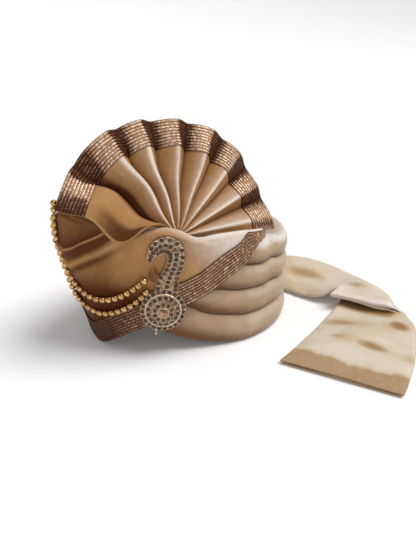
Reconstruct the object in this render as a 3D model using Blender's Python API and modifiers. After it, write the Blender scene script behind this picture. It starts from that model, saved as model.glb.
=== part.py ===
# A ready-tied turban of padded velvet rolls, with a pleated fan, a brooch, beads and a long tail.
# Metres, +Z up. The wearer faces -Y and their left is +X. The origin is at the middle of the
# head opening, on the table that the turban rests on.

import math

import bmesh
import bpy
import numpy as np

MM = 0.001

# The head and the cap
HEAD_HALF_WIDTH = 80 * MM
HEAD_HALF_LENGTH = 101 * MM
CAP_WALL = 2.5 * MM
CAP_HEIGHT = 112 * MM
CAP_RECESS = 2 * MM  # how far the cap's hem stays above the rolls' hem

# The outer shape, seen from above: an oval with a pointed prow that leans forward
OUTER_HALF_WIDTH = 106 * MM
BACK_REACH = 125 * MM
PROW_REACH = 130 * MM  # at the table
PROW_LEAN = 33 * MM  # how much further the prow reaches at the lean's top
LEAN_TOP = 122 * MM
PROW_POINT = 1.4  # 1 is an ellipse, more is a sharper prow

# Heights
PROW_HEIGHT = 157 * MM
HEM_LIFT = 30 * MM  # the rolls' hem rises this much in front of the ears
CREASE_LIFT = 40 * MM  # and the creases between the rolls this much

# Cloth, lace and clearances
GAP = 0.3 * MM
WRAP_CLOTH = 2.5 * MM
COVER_CLOTH = 2.0 * MM
FAN_CLOTH = 2.2 * MM
TAIL_CLOTH = 1.6 * MM
LACE = 0.8 * MM
LACE_GAP = 0.5 * MM
FAN_LACE_GAP = 0.9 * MM  # along the folds' edges, so that the faces keep the gap
COVER_GAP = 1.5 * MM  # over the rolls, whose top twists as it rises
PRESS = 1.3 * MM  # more room than the gap where the wrap presses on the rolls

# The wound rolls
ROLL_COUNT = 4
SIDES = 40  # sections round the turban
PRESS_FADE = 12 * MM  # height over which a roll dips under the wrap's edge
PRESS_START = 10 * MM  # how far below the edge the roll is fully pressed

# The front wrap
WRAP_END = 99  # degrees to each side of the prow
WRAP_PLEAT = 3.2 * MM
PLEAT_HALF = 8 * MM
PLEAT_LOW = 99 * MM  # height of the lower pleat at the prow
PLEAT_STEP = 17 * MM
PLEAT_CLIMB = 0.95 * MM  # climb for each degree away from the prow
RIM_CURL = 7 * MM
ROW_STEP = 1 * MM  # the least height between two rows of the wrap
RIM_DROP = 12 * MM  # from the rim down to the top of the rolls
LACE_WIDTH = 25 * MM

# The fan
FAN_RADIUS = 130 * MM
FAN_KNOT_RECESS = 15 * MM  # inside the rim
FAN_KNOT_TURN = 52  # degrees
FAN_KNOT_HEIGHT = 129 * MM
FAN_FACING = -25.8  # degrees from +X
FAN_TILT = 34  # degrees that its face looks up
FAN_FOLD = 7 * MM  # half the depth of a pleat at the outer edge
FAN_START = 0.06  # share of the reach where the cloth starts, hidden in the knot
FAN_ROWS = [0.2, 0.42, 0.62]
FAN_LACE_WIDTH = 31 * MM
FAN_DROOP = 25 * MM  # how far the front edge falls outwards over the rim

# The brooch
BROOCH_TURN = 39  # degrees from the prow
BROOCH_RISE = 50 * MM
BROOCH_REST = 4  # degrees further round, where it lies flat against the wrap
BROOCH_LEAN = 8  # degrees further round, where the plume's top lies
BROOCH_OFF = 2.4 * MM
BROOCH_PLATE = 2.0 * MM
ROSETTE_RADIUS = 23.5 * MM
ROSETTE_U = 8.5 * MM
ROSETTE_V = 4 * MM
DOME_RADIUS = 17.5 * MM
DOME_RISE = 5 * MM
STONE = 1.9 * MM
STONE_RISE = 1.6 * MM
STONE_SINK = 0.5 * MM
OUTER_STONES = 22
INNER_STONES = 12
CENTRE_STONE = 5 * MM
CENTRE_RISE = 2.5 * MM
PLUME_HEIGHT = 85 * MM
PLUME_INSET = 0.2 * MM  # the plume's plate is this much thinner on each face than the rosette's
PLUME_STONE_ROWS = 12
PLUME_LANE = 1.25  # from the plume's flank to its outer stones, in stone radii
PLUME_NARROW = 7  # under this width, in stone radii, the plume has one lane of stones
INNER_RING = 0.45  # radius of the inner stones' ring as a share of the dome's
AMBER_U = -0.3 * MM
AMBER_V = 47 * MM
AMBER_TAPER = 0.62
AMBER_CUP = 1.0 * MM  # thickness of the setting behind it
AMBER_CUP_INSET = 0.4 * MM
AMBER_CUP_SIDE = 1.0 * MM  # how far the setting shows beside it
AMBER_CUP_END = 4.5 * MM  # and how far it reaches into the plume below it
AMBER_HALF_WIDTH = 4.6 * MM
AMBER_HALF_HEIGHT = 8.5 * MM
AMBER_HALF_DEPTH = 2.6 * MM
PENDANT = 2.4 * MM
PENDANT_TALL = 1.3  # its height as a share of its width
PENDANT_ASIDE = 8 * MM  # from the rosette's middle

# The beads
BEAD = 7.6 * MM
BEAD_NECK = 0.9 * MM
BEAD_RINGS = 3
BEAD_OFF = 0.9 * MM  # clear of the wrap
BEAD_OFF_PROW = 4.2 * MM  # clear of the wrap's pleats
PROW_SIDE = 4  # degrees from the prow where a strand starts to pass over the pleats

# The tail
TAIL_WIDTH = 134 * MM
TAIL_LENGTH = 373 * MM
TAIL_STATIONS = 13
TAIL_THICK = 6 * MM
TAIL_LIFT = 14 * MM
TAIL_TURN = 184  # degrees round from the prow, where it leaves the turban
TAIL_ROOT_SPREAD = 16  # degrees to each side of that
TAIL_ROOT_GAP = 0.9 * MM  # a straight edge against a round roll

# The lower edge of the wrap: degrees from the prow, height as a share of PROW_HEIGHT
EDGE = [
    (0, 0.0),
    (7.5, 0.036),
    (15, 0.083),
    (24, 0.146),
    (35, 0.223),
    (50, 0.344),
    (61, 0.420),
    (73, 0.529),
    (85, 0.618),
    (98, 0.750),
    (110, 0.80),
]

# The rim: degrees from the prow towards the wearer's left, height as a share of PROW_HEIGHT
RIM = [
    (-180, 0.745),
    (-120, 0.76),
    (-98, 0.80),
    (-75, 0.83),
    (-45, 0.90),
    (-15, 0.98),
    (0, 1.0),
    (8, 0.985),
    (18, 0.95),
    (26, 0.905),
    (34, 0.855),
    (41, 0.87),
    (48, 0.89),
    (53, 0.87),
    (60, 0.822),
    (68, 0.832),
    (98, 0.81),
    (120, 0.745),
    (180, 0.735),
]

# A roll's section: reach from the cap to the outer bulge, height from its bottom to its top
ROLL_PROFILE = [
    (0.0, 0.0),
    (0.60, 0.0),
    (0.89, 0.09),
    (1.0, 0.32),
    (1.0, 0.68),
    (0.89, 0.91),
    (0.60, 1.0),
    (0.0, 1.0),
]

# Where the creases lie between the rolls, as shares of the stack
CREASES = [0.0, 0.27, 0.525, 0.76, 1.0]

# The cap: share of its height, share of its plan
CAP_PROFILE = [
    (0.0, 1.0),
    (0.84, 1.0),
    (0.95, 0.90),
    (1.0, 0.55),
]

# The cover: share of the cap's plan, share of the way down from the rolls' top to the cap's
COVER_PROFILE = [
    (0.75, 0.55),
    (0.42, 1.0),
]

# The fan's outer edge from the prow to the back: share of the span, then the place along the
# chord, back from the fan's face and up, as shares of FAN_RADIUS
FAN_ARC = [
    (0.0, -0.93, -0.135, 0.27),
    (0.187, -0.649, -0.387, 0.654),
    (0.30, -0.362, -0.483, 0.80),
    (0.419, -0.014, -0.558, 0.831),
    (0.555, 0.354, -0.539, 0.762),
    (0.666, 0.605, -0.532, 0.585),
    (0.77, 0.764, -0.541, 0.354),
    (0.866, 0.852, -0.498, 0.155),
    (1.0, 0.91, -0.39, -0.045),
]

# The fan's folds: share of the span, height as a share of FAN_FOLD
FAN_FOLDS = [
    (0.0, 0.0),
    (0.071, 1.0),
    (0.149, -1.0),
    (0.268, 1.0),
    (0.310, -1.0),
    (0.369, 1.0),
    (0.411, -1.0),
    (0.488, 1.0),
    (0.530, -1.0),
    (0.595, 1.0),
    (0.643, -1.0),
    (0.702, 1.0),
    (0.756, -1.0),
    (0.815, 1.0),
    (0.869, -1.0),
    (0.940, 1.0),
    (1.0, 0.2),
]

# How the fan's front edge falls over the rim: share of the reach, then outwards and up, as
# shares of FAN_DROOP
FAN_EDGE = [
    (0.0, 0.0, 0.0),
    (0.1, 0.3, 0.35),
    (0.2, 0.75, 0.38),
    (0.42, 0.95, -0.28),
    (0.62, 0.85, -0.15),
    (0.77, 0.62, 0.05),
    (1.0, 0.0, 0.0),
]

# The plume's middle line and width in the brooch's plane, as shares of PLUME_HEIGHT
PLUME = [
    (0.14, 0.27, 0.27),
    (0.165, 0.42, 0.275),
    (0.215, 0.54, 0.22),
    (0.27, 0.70, 0.21),
    (0.265, 0.83, 0.21),
    (0.17, 0.905, 0.21),
    (0.065, 0.885, 0.19),
    (-0.015, 0.80, 0.13),
    (-0.05, 0.70, 0.04),
]

# The strands' routes: degrees from the prow, height as a share of PROW_HEIGHT
STRANDS = {
    "bead_strand_1": [
        (37, 0.555), (29, 0.470), (22, 0.425), (14, 0.408), (7, 0.428), (1, 0.475),
        (-4, 0.56), (-6, 0.70), (-7, 0.84), (-7.5, 1.02),
    ],
    "bead_strand_2": [
        (36.5, 0.465), (32, 0.405), (26, 0.352), (19, 0.312), (12, 0.298), (4, 0.318),
        (-4, 0.372), (-10, 0.47), (-12.5, 0.62), (-13, 0.80), (-13, 0.94),
    ],
}

# The tail on the table: share of TAIL_LENGTH, heading in degrees from +X, direction from its near
# edge to its far one, share of TAIL_WIDTH, then how far its near edge, middle and far edge lift
# off the table, as shares of TAIL_LIFT
TAIL = [
    (0.0, 95, 184, 0.43, 0.2, 0.8, 1.5),
    (0.069, 64, 156, 0.69, 0.1, 0.9, 1.7),
    (0.143, 35, 135, 0.84, 0.1, 0.6, 1.5),
    (0.237, 15, 118, 0.84, 0.1, 0.4, 0.9),
    (0.322, 0, 105, 0.68, 0.3, 0.3, 0.5),
    (0.414, -19, 78, 0.43, 0.9, 0.5, 0.3),
    (0.52, -40, 28, 0.60, 1.0, 0.8, 0.3),
    (0.617, -57, 25, 0.72, 0.3, 0.5, 0.4),
    (0.813, -66, 21, 0.88, 0.1, 0.3, 0.2),
    (1.0, -71, 18, 0.96, 0.0, 0.1, 0.0),
]

VELVET = (0.62, 0.42, 0.22)
VELVET_PALE = (0.78, 0.66, 0.50)
LACE_COPPER = (0.36, 0.20, 0.13)
GOLD = (0.75, 0.52, 0.22)
ANTIQUE_GOLD = (0.62, 0.50, 0.33)
STONE_BROWN = (0.16, 0.08, 0.05)
AMBER = (0.45, 0.12, 0.02)


def column(table, index):
    return [row[index] for row in table]


def smooth(share):
    share = np.clip(share, 0.0, 1.0)
    return share * share * (3 - 2 * share)


def plan(turn, height, out=0.0):
    """A point of the outer shape at a turn in degrees from the prow, moved outwards by out."""
    angle = np.radians(turn)
    ahead, aside = np.cos(angle), np.sin(angle)
    reach = PROW_REACH + PROW_LEAN * np.clip(height / LEAN_TOP, 0.0, 1.0)
    front = -reach * np.abs(ahead) ** PROW_POINT
    y = np.where(ahead > 0, front, BACK_REACH * np.abs(ahead))
    x = OUTER_HALF_WIDTH * aside
    points = np.stack(np.broadcast_arrays(x + out * aside, y - out * ahead, height), -1)
    return points.astype(float)


def head(turn, height, scale, wall):
    """A point of the head's oval, scaled, with wall added outside it."""
    angle = np.radians(turn)
    x = (HEAD_HALF_WIDTH * scale + wall) * np.sin(angle)
    y = -(HEAD_HALF_LENGTH * scale + wall) * np.cos(angle)
    return np.stack(np.broadcast_arrays(x, y, height), -1).astype(float)


def edge_height(turn):
    return PROW_HEIGHT * np.interp(np.abs(turn), column(EDGE, 0), column(EDGE, 1))


def rim_height(turn):
    return PROW_HEIGHT * np.interp(turn, column(RIM, 0), column(RIM, 1))


def hem_height(turn):
    """The rolls' lower edge: on the table at the back, raised in front of the ears."""
    rise = HEM_LIFT * np.clip((85 - np.abs(turn)) / 52, 0.0, 1.0) ** 2
    return np.minimum(rise, edge_height(turn) + CAP_RECESS)


def stack_top(turn):
    """The top of the wound rolls: below the rim under the wrap, and the rim itself behind."""
    under = smooth((WRAP_END + 12 - np.abs(turn)) / 12)
    return rim_height(turn) - RIM_DROP * under - (1 - under) * COVER_CLOTH


def crease_height(turn, level):
    if level == 0:
        return hem_height(turn)
    lift = CREASE_LIFT * np.clip((90 - np.abs(turn)) / 48, 0.0, 1.0) ** 1.8
    return lift + CREASES[level] * (stack_top(turn) - lift)


def material(name, colour, roughness, metallic=0.0):
    look = bpy.data.materials.new(name)
    look.use_nodes = True
    shader = look.node_tree.nodes["Principled BSDF"]
    shader.inputs["Base Color"].default_value = (*colour, 1.0)
    shader.inputs["Roughness"].default_value = roughness
    shader.inputs["Metallic"].default_value = metallic
    look.diffuse_color = (*colour, 1.0)
    return look


def collection(name):
    group = bpy.data.collections.new(name)
    bpy.context.scene.collection.children.link(group)
    return group


def add(name, mesh, look, group):
    piece = bpy.data.objects.new(name, mesh)
    piece.data.materials.append(look)
    group.objects.link(piece)
    return piece


def grid_mesh(name, grid, closed_rows=False, closed_columns=False, lid=False):
    """A mesh through a grid of points; lid closes the last row with one face."""
    rows, columns = grid.shape[:2]
    mesh = bpy.data.meshes.new(name)
    faces = []
    for row in range(rows if closed_rows else rows - 1):
        for side in range(columns if closed_columns else columns - 1):
            after, beside = (row + 1) % rows, (side + 1) % columns
            faces.append(
                (
                    row * columns + side,
                    row * columns + beside,
                    after * columns + beside,
                    after * columns + side,
                )
            )
    if lid:
        faces.append([(rows - 1) * columns + side for side in range(columns)])
    mesh.from_pydata(grid.reshape(-1, 3).tolist(), [], faces)
    mesh.shade_smooth()
    return mesh


def outward(mesh):
    shape = bmesh.new()
    shape.from_mesh(mesh)
    bmesh.ops.recalc_face_normals(shape, faces=shape.faces)
    shape.to_mesh(mesh)
    shape.free()


def split_short(mesh):
    """Splits faces along their shorter diagonal, so that two rolls' touching faces split alike."""
    shape = bmesh.new()
    shape.from_mesh(mesh)
    bmesh.ops.triangulate(shape, faces=shape.faces, quad_method="SHORT_EDGE")
    shape.to_mesh(mesh)
    shape.free()


def grid_normals(grid):
    """The normal at each point of an open grid."""
    along = np.gradient(grid, axis=0)
    across = np.gradient(grid, axis=1)
    normal = np.cross(across, along)
    return normal / np.linalg.norm(normal, axis=-1, keepdims=True)


def solidify(piece, wall, side):
    shell = piece.modifiers.new("wall", "SOLIDIFY")
    shell.thickness = wall
    shell.offset = side
    return shell


def union(piece, other):
    join = piece.modifiers.new("join", "BOOLEAN")
    join.operation = "UNION"
    join.solver = "EXACT"
    join.use_self = True
    join.object = other
    other.hide_render = True
    other.display_type = "WIRE"


def all_round():
    """The turn in degrees of each section round the turban."""
    return np.linspace(-180, 180, SIDES + 1)[:-1]


# The cap that the head goes into
def make_cap(group, look):
    turn = all_round()
    rows = []
    for share, scale in CAP_PROFILE:
        low = hem_height(turn) + CAP_RECESS
        rows.append(head(turn, low + share * (CAP_HEIGHT - low), scale, CAP_WALL * scale))
    mesh = grid_mesh("crown_cap", np.array(rows), closed_columns=True, lid=True)
    cap = add("crown_cap", mesh, look, group)
    solidify(cap, CAP_WALL, -1)
    return cap


# One padded roll, a closed ring between the cap and the outer shape
def make_roll(number, group, look):
    turn = all_round()
    low = crease_height(turn, number) + GAP * (number > 0)
    high = crease_height(turn, number + 1)
    pressed = WRAP_CLOTH + GAP + PRESS
    sections = []
    for reach, share in ROLL_PROFILE:
        height = low + share * (high - low)
        above = (height - edge_height(turn) + PRESS_START + PRESS_FADE) / PRESS_FADE
        covered = smooth(above) * (np.abs(turn) < WRAP_END + 360 / SIDES)
        inner = head(turn, height, 1.0, CAP_WALL + GAP)
        outer = plan(turn, height, 0.0)
        outer = outer - (outer - plan(turn, height, -1.0)) * (covered * pressed)[:, None]
        sections.append(inner + reach * (outer - inner))
    name = f"roll_{number + 1}"
    grid = np.array(sections)
    grid[:, :, 2] = np.array([low + share * (high - low) for _, share in ROLL_PROFILE])
    mesh = grid_mesh(name, grid, closed_rows=True, closed_columns=True)
    outward(mesh)
    split_short(mesh)
    return add(name, mesh, look, group)


# The cloth that closes the top inside the rim
def make_cover(group, look):
    turn = all_round()
    top = stack_top(turn) + COVER_GAP
    rows = []
    inset = -(WRAP_CLOTH + RIM_CURL + 2 * GAP)
    rim = plan(turn, top, inset)
    hip = head(turn, top, 1.0, CAP_WALL)
    rows.append(rim)
    rows.append(hip)
    for scale, fall in COVER_PROFILE:
        height = top + fall * (CAP_HEIGHT + GAP - top)
        height = np.maximum(height, CAP_HEIGHT + GAP)
        rows.append(head(turn, height, scale, 0.0))
    mesh = grid_mesh("top_cover", np.array(rows), closed_columns=True, lid=True)
    cover = add("top_cover", mesh, look, group)
    solidify(cover, COVER_CLOTH, 1)
    return cover


def wrap_turns():
    step = 360 / SIDES
    return np.arange(-WRAP_END, WRAP_END + step / 2, step)


def wrap_rows(turn):
    """Heights and outward offsets of the wrap's rows, from its lower edge to its curled rim."""
    low = edge_height(turn)
    top = rim_height(turn)
    pleat = PLEAT_LOW + PLEAT_CLIMB * np.abs(turn)
    second = pleat + PLEAT_STEP
    rows = [
        (low, 0.0),
        (low + 0.35 * (pleat - low), 0.0),
        (pleat - PLEAT_HALF, 0.0),
        (pleat, WRAP_PLEAT),
        (pleat + PLEAT_HALF, 0.0),
        (second, WRAP_PLEAT),
        (second + 0.5 * PLEAT_HALF, 0.0),
        (top - RIM_CURL, 0.0),
        (top - 0.3 * RIM_CURL, -0.3 * RIM_CURL),
        (top, -RIM_CURL),
    ]
    count = len(rows)
    heights, offsets = [], []
    for index, (height, out) in enumerate(rows):
        flat = count - 3
        room = (top - RIM_CURL - low) / flat
        ceiling = top - RIM_CURL - np.minimum(ROW_STEP, room) * (flat - index)
        ceiling = np.where(index > flat, top, ceiling)
        free = smooth((top - RIM_CURL - height) / PLEAT_HALF)
        heights.append(np.minimum(height, ceiling))
        offsets.append(out * free if out > 0 else out + 0 * turn)
    return np.array(heights), np.array(offsets)


# The smooth wrap over the front, with its two long pleats
def make_wrap(group, look):
    turn = wrap_turns()
    heights, offsets = wrap_rows(turn)
    grid = plan(turn + 0 * heights, heights, offsets)
    mesh = grid_mesh("front_panel", grid)
    wrap = add("front_panel", mesh, look, group)
    solidify(wrap, WRAP_CLOTH, -1)
    return wrap


# The lace band along the wrap's lower edge
def make_wrap_lace(group, look):
    turn = wrap_turns()
    low = edge_height(turn) + GAP
    climb = np.gradient(low, np.radians(turn)) / OUTER_HALF_WIDTH
    tall = LACE_WIDTH * np.sqrt(1 + climb**2)
    high = np.minimum(low + tall, rim_height(turn) - RIM_CURL)
    heights = np.array([low, (low + high) / 2, high])
    grid = plan(turn + 0 * heights, heights, LACE_GAP)
    mesh = grid_mesh("panel_lace", grid)
    lace = add("panel_lace", mesh, look, group)
    solidify(lace, LACE, 1)
    return lace


def fan_frame():
    facing = np.radians(FAN_FACING)
    face = np.array([math.cos(facing), math.sin(facing), 0.0])
    chord = np.array([-face[1], face[0], 0.0])
    up = np.array([0.0, 0.0, 1.0])
    tilt = math.radians(FAN_TILT)
    normal = math.cos(tilt) * face + math.sin(tilt) * up
    knot = plan(FAN_KNOT_TURN, FAN_KNOT_HEIGHT, -FAN_KNOT_RECESS)
    return knot, face, chord, up, normal


def fan_grid(reaches):
    """The fan's cloth: a row for each reach from the knot, a column for each fold."""
    knot, face, chord, up, normal = fan_frame()
    span = np.array(column(FAN_FOLDS, 0))
    fold = np.array(column(FAN_FOLDS, 1))
    arc = [np.interp(span, column(FAN_ARC, 0), column(FAN_ARC, k)) for k in (1, 2, 3)]
    ray = FAN_RADIUS * (
        arc[0][:, None] * chord + arc[1][:, None] * face + arc[2][:, None] * up
    )
    away = 0.98 * face - 0.2 * chord
    rows = []
    for reach in reaches:
        fall, rise = [
            FAN_DROOP * np.interp(reach, column(FAN_EDGE, 0), column(FAN_EDGE, k)) for k in (1, 2)
        ]
        row = knot + reach * ray
        row = row + (reach * FAN_FOLD * fold)[:, None] * normal
        row[0] = row[0] + fall * away + rise * up
        rows.append(row)
    return np.array(rows)


def lace_reaches():
    inner = 1 - FAN_LACE_WIDTH / FAN_RADIUS
    return [inner, (1 + inner) / 2, 1.0]


# The pleated fan
def make_fan(group, look):
    grid = fan_grid([FAN_START] + FAN_ROWS + lace_reaches())
    mesh = grid_mesh("fan", grid)
    fan = add("fan", mesh, look, group)
    solidify(fan, FAN_CLOTH, 0)
    return fan


# The lace border on the fan's face
def make_fan_lace(group, look):
    grid = fan_grid(lace_reaches())
    lift = FAN_CLOTH / 2 + FAN_LACE_GAP
    grid = grid + lift * grid_normals(grid)
    mesh = grid_mesh("fan_lace", grid)
    lace = add("fan_lace", mesh, look, group)
    solidify(lace, LACE, 1)
    return lace


def brooch_frame():
    foot = plan(BROOCH_TURN, BROOCH_RISE, BROOCH_OFF)
    rest = BROOCH_TURN + BROOCH_REST
    side = plan(rest + 1, BROOCH_RISE) - plan(rest - 1, BROOCH_RISE)
    side /= np.linalg.norm(side)
    tip = plan(BROOCH_TURN + BROOCH_LEAN, PLUME_HEIGHT + BROOCH_RISE, BROOCH_OFF)
    out = np.cross(side, tip - foot)
    out /= np.linalg.norm(out)
    up = np.cross(out, side)
    return foot, side, up, out


def to_brooch(mesh):
    foot, side, up, out = brooch_frame()
    for vertex in mesh.vertices:
        u, v, w = vertex.co
        vertex.co = foot + u * side + v * up + w * out


def add_stone(shape, u, v, w, size):
    """A cut stone: a wide girdle, eight facets and a flat table."""
    made = bmesh.ops.create_cone(
        shape, cap_ends=True, segments=8, radius1=size, radius2=0.55 * size,
        depth=STONE_RISE + STONE_SINK,
    )
    middle = w + (STONE_RISE - STONE_SINK) / 2
    bmesh.ops.translate(shape, verts=made["verts"], vec=(u, v, middle))


def plume_line(count):
    share = np.linspace(0, 1, len(PLUME))
    fine = np.linspace(0, 1, count)
    line = [PLUME_HEIGHT * np.interp(fine, share, column(PLUME, k)) for k in range(3)]
    return np.array(line).T


# The brooch: a domed rosette and a curled plume in one piece of metal, with its small stones
def make_brooch(group, cutters, look):
    disc = bmesh.new()
    bmesh.ops.create_cone(
        disc, cap_ends=True, segments=32, radius1=ROSETTE_RADIUS, radius2=ROSETTE_RADIUS,
        depth=BROOCH_PLATE,
    )
    bmesh.ops.translate(disc, verts=disc.verts, vec=(ROSETTE_U, ROSETTE_V, BROOCH_PLATE / 2))
    mesh = bpy.data.meshes.new("brooch")
    disc.to_mesh(mesh)
    disc.free()
    to_brooch(mesh)
    brooch = add("brooch", mesh, look, group)

    line = plume_line(len(PLUME) * 2 - 1)
    ahead = np.gradient(line[:, :2], axis=0)
    ahead /= np.linalg.norm(ahead, axis=1, keepdims=True)
    side = np.stack([-ahead[:, 1], ahead[:, 0]], 1)
    left = line[:, :2] + side * line[:, 2:] / 2
    right = line[:, :2] - side * line[:, 2:] / 2
    grid = []
    for height in (PLUME_INSET, BROOCH_PLATE - PLUME_INSET):
        for flank in (left, right):
            grid.append(np.column_stack([flank, np.full(len(flank), height)]))
    grid = np.array([grid[0], grid[1], grid[3], grid[2]])
    plate = grid_mesh("plume_plate", grid, closed_rows=True)
    ends = bmesh.new()
    ends.from_mesh(plate)
    bmesh.ops.holes_fill(ends, edges=ends.edges)
    bmesh.ops.recalc_face_normals(ends, faces=ends.faces)
    ends.to_mesh(plate)
    ends.free()
    to_brooch(plate)
    union(brooch, add("plume_plate", plate, look, cutters))

    cup = bmesh.new()
    bmesh.ops.create_cone(
        cup, cap_ends=True, segments=16, radius1=1.0, radius2=1.0, depth=AMBER_CUP,
    )
    for vertex in cup.verts:
        vertex.co.x = AMBER_U + vertex.co.x * (AMBER_HALF_WIDTH + AMBER_CUP_SIDE)
        vertex.co.y = AMBER_V + vertex.co.y * (AMBER_HALF_HEIGHT + AMBER_CUP_END)
        vertex.co.z += AMBER_CUP_INSET + AMBER_CUP / 2
    mesh = bpy.data.meshes.new("cup")
    cup.to_mesh(mesh)
    cup.free()
    to_brooch(mesh)
    union(brooch, add("cup", mesh, look, cutters))

    dome = bmesh.new()
    bmesh.ops.create_cone(
        dome, cap_ends=True, segments=24, radius1=DOME_RADIUS, radius2=0.62 * DOME_RADIUS,
        depth=DOME_RISE + STONE_SINK,
    )
    middle = BROOCH_PLATE + (DOME_RISE - STONE_SINK) / 2
    bmesh.ops.translate(dome, verts=dome.verts, vec=(ROSETTE_U, ROSETTE_V, middle))
    mesh = bpy.data.meshes.new("dome")
    dome.to_mesh(mesh)
    dome.free()
    to_brooch(mesh)
    union(brooch, add("dome", mesh, look, cutters))

    stones = bmesh.new()
    ring = (ROSETTE_RADIUS + DOME_RADIUS) / 2
    for number in range(OUTER_STONES):
        angle = 2 * math.pi * (number + 0.5) / OUTER_STONES
        u = ROSETTE_U + ring * math.cos(angle)
        v = ROSETTE_V + ring * math.sin(angle)
        add_stone(stones, u, v, BROOCH_PLATE, STONE)
    for number in range(INNER_STONES):
        angle = 2 * math.pi * number / INNER_STONES
        u = ROSETTE_U + INNER_RING * DOME_RADIUS * math.cos(angle)
        v = ROSETTE_V + INNER_RING * DOME_RADIUS * math.sin(angle)
        add_stone(stones, u, v, BROOCH_PLATE + DOME_RISE, STONE)
    for u, v, wide in plume_line(PLUME_STONE_ROWS + 2)[1:-1]:
        for lane in (-1, 0, 1):
            place = lane * (wide / 2 - PLUME_LANE * STONE)
            if wide < PLUME_NARROW * STONE and lane != 0:
                continue
            near = np.argmin(np.abs(line[:, 0] - u) + np.abs(line[:, 1] - v))
            add_stone(
                stones, u + place * side[near, 0], v + place * side[near, 1],
                BROOCH_PLATE, STONE,
            )
    mesh = bpy.data.meshes.new("stones")
    stones.to_mesh(mesh)
    stones.free()
    to_brooch(mesh)
    union(brooch, add("stones", mesh, look, cutters))
    return brooch


# The rosette's main stone, with a table and eight facets
def make_centre_stone(group, look):
    shape = bmesh.new()
    bmesh.ops.create_cone(
        shape, cap_ends=True, segments=8, radius1=CENTRE_STONE, radius2=0.6 * CENTRE_STONE,
        depth=CENTRE_RISE,
    )
    height = BROOCH_PLATE + DOME_RISE + GAP + CENTRE_RISE / 2
    bmesh.ops.translate(shape, verts=shape.verts, vec=(ROSETTE_U, ROSETTE_V, height))
    mesh = bpy.data.meshes.new("centre_stone")
    shape.to_mesh(mesh)
    shape.free()
    to_brooch(mesh)
    return add("centre_stone", mesh, look, group)


# The amber drop in the plume's curl, pointed at its top
def make_amber(group, look):
    shape = bmesh.new()
    bmesh.ops.create_uvsphere(shape, u_segments=10, v_segments=7, radius=1.0)
    for vertex in shape.verts:
        across, deep, tall = vertex.co
        taper = 1 - AMBER_TAPER * smooth((tall + 0.2) / 1.2)
        vertex.co = (
            AMBER_HALF_WIDTH * across * taper,
            AMBER_HALF_HEIGHT * tall,
            AMBER_HALF_DEPTH * -deep * taper,
        )
    place = (AMBER_U, AMBER_V, AMBER_CUP_INSET + AMBER_CUP + GAP + AMBER_HALF_DEPTH)
    bmesh.ops.translate(shape, verts=shape.verts, vec=place)
    mesh = bpy.data.meshes.new("amber_drop")
    shape.to_mesh(mesh)
    shape.free()
    to_brooch(mesh)
    outward(mesh)
    return add("amber_drop", mesh, look, group)


# The small drop under the rosette
def make_pendant(group, look):
    shape = bmesh.new()
    bmesh.ops.create_uvsphere(shape, u_segments=10, v_segments=6, radius=PENDANT)
    for vertex in shape.verts:
        vertex.co.y *= PENDANT_TALL
    place = (
        ROSETTE_U - PENDANT_ASIDE,
        ROSETTE_V - math.sqrt(ROSETTE_RADIUS**2 - PENDANT_ASIDE**2) - PENDANT * PENDANT_TALL - GAP,
        PENDANT,
    )
    bmesh.ops.translate(shape, verts=shape.verts, vec=place)
    mesh = bpy.data.meshes.new("brooch_pendant")
    shape.to_mesh(mesh)
    shape.free()
    to_brooch(mesh)
    outward(mesh)
    return add("brooch_pendant", mesh, look, group)


def spline(points, count):
    """Points evenly spaced along a smooth curve through the given ones."""
    points = np.array(points, float)
    ends = np.vstack([2 * points[0] - points[1], points, 2 * points[-1] - points[-2]])
    fine = []
    for start in range(len(points) - 1):
        a, b, c, d = ends[start : start + 4]
        for share in np.linspace(0, 1, 24, endpoint=False):
            fine.append(
                0.5
                * (
                    2 * b
                    + (c - a) * share
                    + (2 * a - 5 * b + 4 * c - d) * share**2
                    + (3 * b - a - 3 * c + d) * share**3
                )
            )
    fine.append(points[-1])
    fine = np.array(fine)
    run = np.concatenate([[0], np.cumsum(np.linalg.norm(np.diff(fine, axis=0), axis=1))])
    even = np.linspace(0, run[-1], count)
    return np.stack([np.interp(even, run, fine[:, k]) for k in range(3)], 1), run[-1]


# A strand of beads on its thread, as one tube that swells at each bead
def make_strand(name, route, group, look):
    stops = []
    for turn, share in route:
        rising = smooth((PROW_SIDE - turn) / (2 * PROW_SIDE))
        off = BEAD / 2 + BEAD_OFF + (BEAD_OFF_PROW - BEAD_OFF) * rising
        stops.append(plan(turn, share * PROW_HEIGHT, off))
    _, length = spline(stops, 2)
    beads = int(length / BEAD)
    points, _ = spline(stops, beads * BEAD_RINGS + 1)
    curve = bpy.data.curves.new(name, "CURVE")
    curve.dimensions = "3D"
    curve.bevel_depth = BEAD / 2
    curve.bevel_resolution = 3
    curve.use_fill_caps = True
    line = curve.splines.new("POLY")
    line.points.add(len(points) - 1)
    for index, point in enumerate(points):
        share = (index % BEAD_RINGS) / BEAD_RINGS - 0.5
        swell = math.sqrt(max(0.25 - share * share, 0.0)) * 2
        line.points[index].co = (*point, 1.0)
        line.points[index].radius = max(swell, 2 * BEAD_NECK / BEAD)
    strand = bpy.data.objects.new(name, curve)
    curve.materials.append(look)
    group.objects.link(strand)
    return strand


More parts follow.
